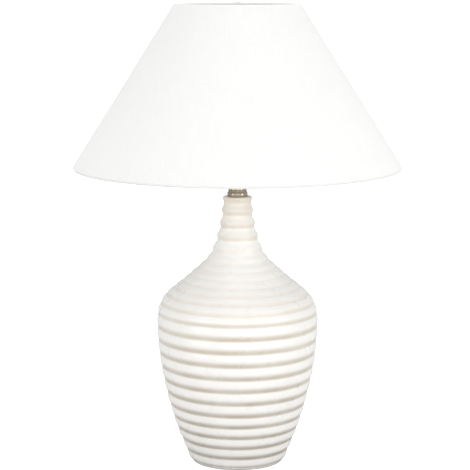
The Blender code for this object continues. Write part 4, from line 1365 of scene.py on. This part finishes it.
panel_low, panel_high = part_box("shade_panel")
BOTTOM_RADIUS = panel_high.x
TOP_RADIUS = 85.3 * MM
run_out = BOTTOM_RADIUS - TOP_RADIUS
rise = panel_high.z - panel_low.z
slant = hypot(run_out, rise)
lean = asin(run_out / slant)
outward = Vector((cos(lean), sin(lean)))
downward = Vector((sin(lean), -cos(lean)))
tip_to_bottom = BOTTOM_RADIUS / sin(lean)
tip_to_top = TOP_RADIUS / sin(lean)


def on_panel(from_tip, depth):
    """A point (radius, height), given how far down the cone it is and how deep under its outer face."""
    corner = Vector((BOTTOM_RADIUS, panel_low.z))
    return corner + downward * (from_tip - tip_to_bottom) - outward * depth


def cloth_section():
    """[(point, distance from the tip along the cloth)] from inside the lower edge to inside the upper."""
    wire_low, wire_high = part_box("shade_bottom_wire")
    wire_radius = (wire_high.z - wire_low.z) / 2
    wire_middle = Vector((wire_high.x - wire_radius, (wire_low.z + wire_high.z) / 2))
    depth = outward.dot(Vector((BOTTOM_RADIUS, panel_low.z)) - wire_middle)
    along = downward.dot(Vector((BOTTOM_RADIUS, panel_low.z)) - wire_middle)
    wrap = depth - CLOTH / 2
    inner_depth = CLOTH + FILM + CLOTH
    points = []
    for edge, way in ((tip_to_bottom - along, 1.0), (tip_to_top + along, -1.0)):
        half = []
        back = edge - way * (wire_radius + 2.2 * MM)
        for i in range(4):
            half.append(on_panel(back - way * TURN_IN * (1 - i / 4), inner_depth))
        last = 2.45
        for i in range(17):
            angle = last * (1 - i / 16)
            half.append(on_panel(edge + way * wrap * sin(angle), depth - wrap * cos(angle)))
        points.append(half)
    lower, upper = points
    straight_start, straight_end = tip_to_bottom - along, tip_to_top + along
    middle = [on_panel(straight_start + (straight_end - straight_start) * i / ROWS_UP, CLOTH / 2)
              for i in range(1, ROWS_UP)]
    section = lower + middle + upper[::-1]
    anchor = len(lower) - 1
    lengths = [0.0] * len(section)
    lengths[anchor] = straight_start
    for i in range(anchor - 1, -1, -1):
        lengths[i] = lengths[i + 1] + (section[i + 1] - section[i]).length
    for i in range(anchor + 1, len(section)):
        lengths[i] = lengths[i - 1] - (section[i] - section[i - 1]).length
    return list(zip(section, lengths))


section = cloth_section()
print("cloth section:", len(section), "points,", round((section[0][1] - section[-1][1]) / MM, 1), "mm long")

# %% The sheet, its flat pattern and its thickness
def flat_place(from_tip, angle):
    """Where a point of the cloth lies on the flat pattern, with the front of the shade straight up."""
    turn = angle * sin(lean)
    return from_tip * sin(turn), -from_tip * cos(turn)


def lay_out(piece, turns):
    """Write the flat pattern to the piece's UV map. turns gives each point's distance from the tip."""
    pattern = piece.data.uv_layers.new(name="flat_pattern")
    for face in piece.data.polygons:
        middle_angle = atan2(face.center.x, -face.center.y)
        for loop in face.loop_indices:
            index = piece.data.loops[loop].vertex_index
            x, y, _ = piece.data.vertices[index].co
            angle = atan2(x, -y)
            angle += 2 * pi * round((middle_angle - angle) / (2 * pi))
            pattern.data[loop].uv = flat_place(turns[index].value, angle)


def make_cloth():
    """Spin the section, lay out its flat pattern, give it slight waves and give it thickness."""
    sheet = draw_line([Vector((0.0, point.x, point.y)) for point, _ in section])
    named(sheet, "linen_cone")
    bpy.ops.object.mode_set(mode="OBJECT")
    marks = sheet.data.attributes.new("from_tip", "FLOAT", "POINT")
    for mark, (_, length) in zip(marks.data, section):
        mark.value = length
    bpy.ops.object.mode_set(mode="EDIT")
    bpy.ops.mesh.select_all(action="SELECT")
    bpy.ops.mesh.spin(steps=SHADE_STEPS, angle=2 * pi, center=(0.0, 0.0, 0.0), axis=(0.0, 0.0, 1.0))
    close_up(sheet, 80.0)
    lay_out(sheet, sheet.data.attributes["from_tip"].data)
    for vertex in sheet.data.vertices:
        x, y, z = vertex.co
        away = hypot(x, y)
        shift = 0.25 * MM * noise.noise(Vector((x * 9, y * 9, z * 9)))
        vertex.co.x += x / away * shift
        vertex.co.y += y / away * shift
    clear_selection()
    bpy.context.view_layer.objects.active = sheet
    return thicken(sheet, CLOTH)


linen_cone = make_cloth()
install(linen_cone, "shade", "linen", white_linen, "shade_panel")

# %% [markdown]
# Behind the cloth lies the white film that stiffens it, from wire to wire. At the back, the two ends of the
# cloth meet under a narrow strip.

# %% Film and back seam
def make_film():
    """The stiff white film inside the cloth, as a thin open cone with thickness."""
    start = tip_to_top + 5.0 * MM
    end = tip_to_bottom - 5.0 * MM
    outer, inner = CLOTH + 0.05 * MM, CLOTH + FILM
    rows = 24
    face = [on_panel(start + (end - start) * i / rows, outer) for i in range(rows + 1)]
    back = [on_panel(end + (start - end) * i / rows, inner) for i in range(rows + 1)]
    return turned("stiffening_film", [tuple(point) for point in face + back], SHADE_STEPS)


def make_seam():
    """A strip of cloth laid over the join at the back."""
    width, stand = 9.0 * MM, 0.35 * MM
    rows = 40
    places = [on_panel(tip_to_top + (tip_to_bottom - tip_to_top) * i / rows, -stand) for i in range(rows + 1)]
    strip = draw_line([Vector((-width / 2, point.x, point.y)) for point in places])
    named(strip, "back_seam")
    bpy.ops.mesh.select_all(action="SELECT")
    for _ in range(6):
        bpy.ops.mesh.extrude_edges_move(TRANSFORM_OT_translate={"value": (width / 6, 0.0, 0.0)})
    close_up(strip)
    for vertex in strip.data.vertices:
        edge = abs(vertex.co.x) / (width / 2)
        vertex.co.y -= 0.3 * MM * edge**6 + (vertex.co.y - sqrt(max(vertex.co.y**2 - vertex.co.x**2, 0.0)))
    pattern = strip.data.uv_layers.new(name="flat_pattern")
    for loop in strip.data.loops:
        place = strip.data.vertices[loop.vertex_index].co
        pattern.data[loop.index].uv = (place.x, place.z / cos(lean))
    return thicken(strip, 0.4 * MM)


shade_film = make_film()
back_seam = make_seam()
for piece, slot, material in ((shade_film, "linen", white_film), (back_seam, "linen", white_linen)):
    install(piece, "shade", slot, material, "shade_panel")

# %% [markdown]
# ## Parts that stay as the frame has them
# The insulating block, the contacts and the terminal screws are shut inside the cup and the sleeve. Their
# frame shapes are right as they are, so they only need finishes.

# %% Finishes on the frame's own parts
KEPT = {
    "contact_block": white_moulding,
    "switch_leaf": plain_brass,
    "terminal_screw_live": plain_brass,
    "terminal_screw_neutral": plain_brass,
    "centre_contact": plain_brass,
    "shell_contact": plain_brass,
    "screw_shell": plain_brass,
}
for node_name, material in KEPT.items():
    for slot in frame["nodes"][node_name].material_slots:
        slot.material = material
print("kept from the frame:", sorted(KEPT))
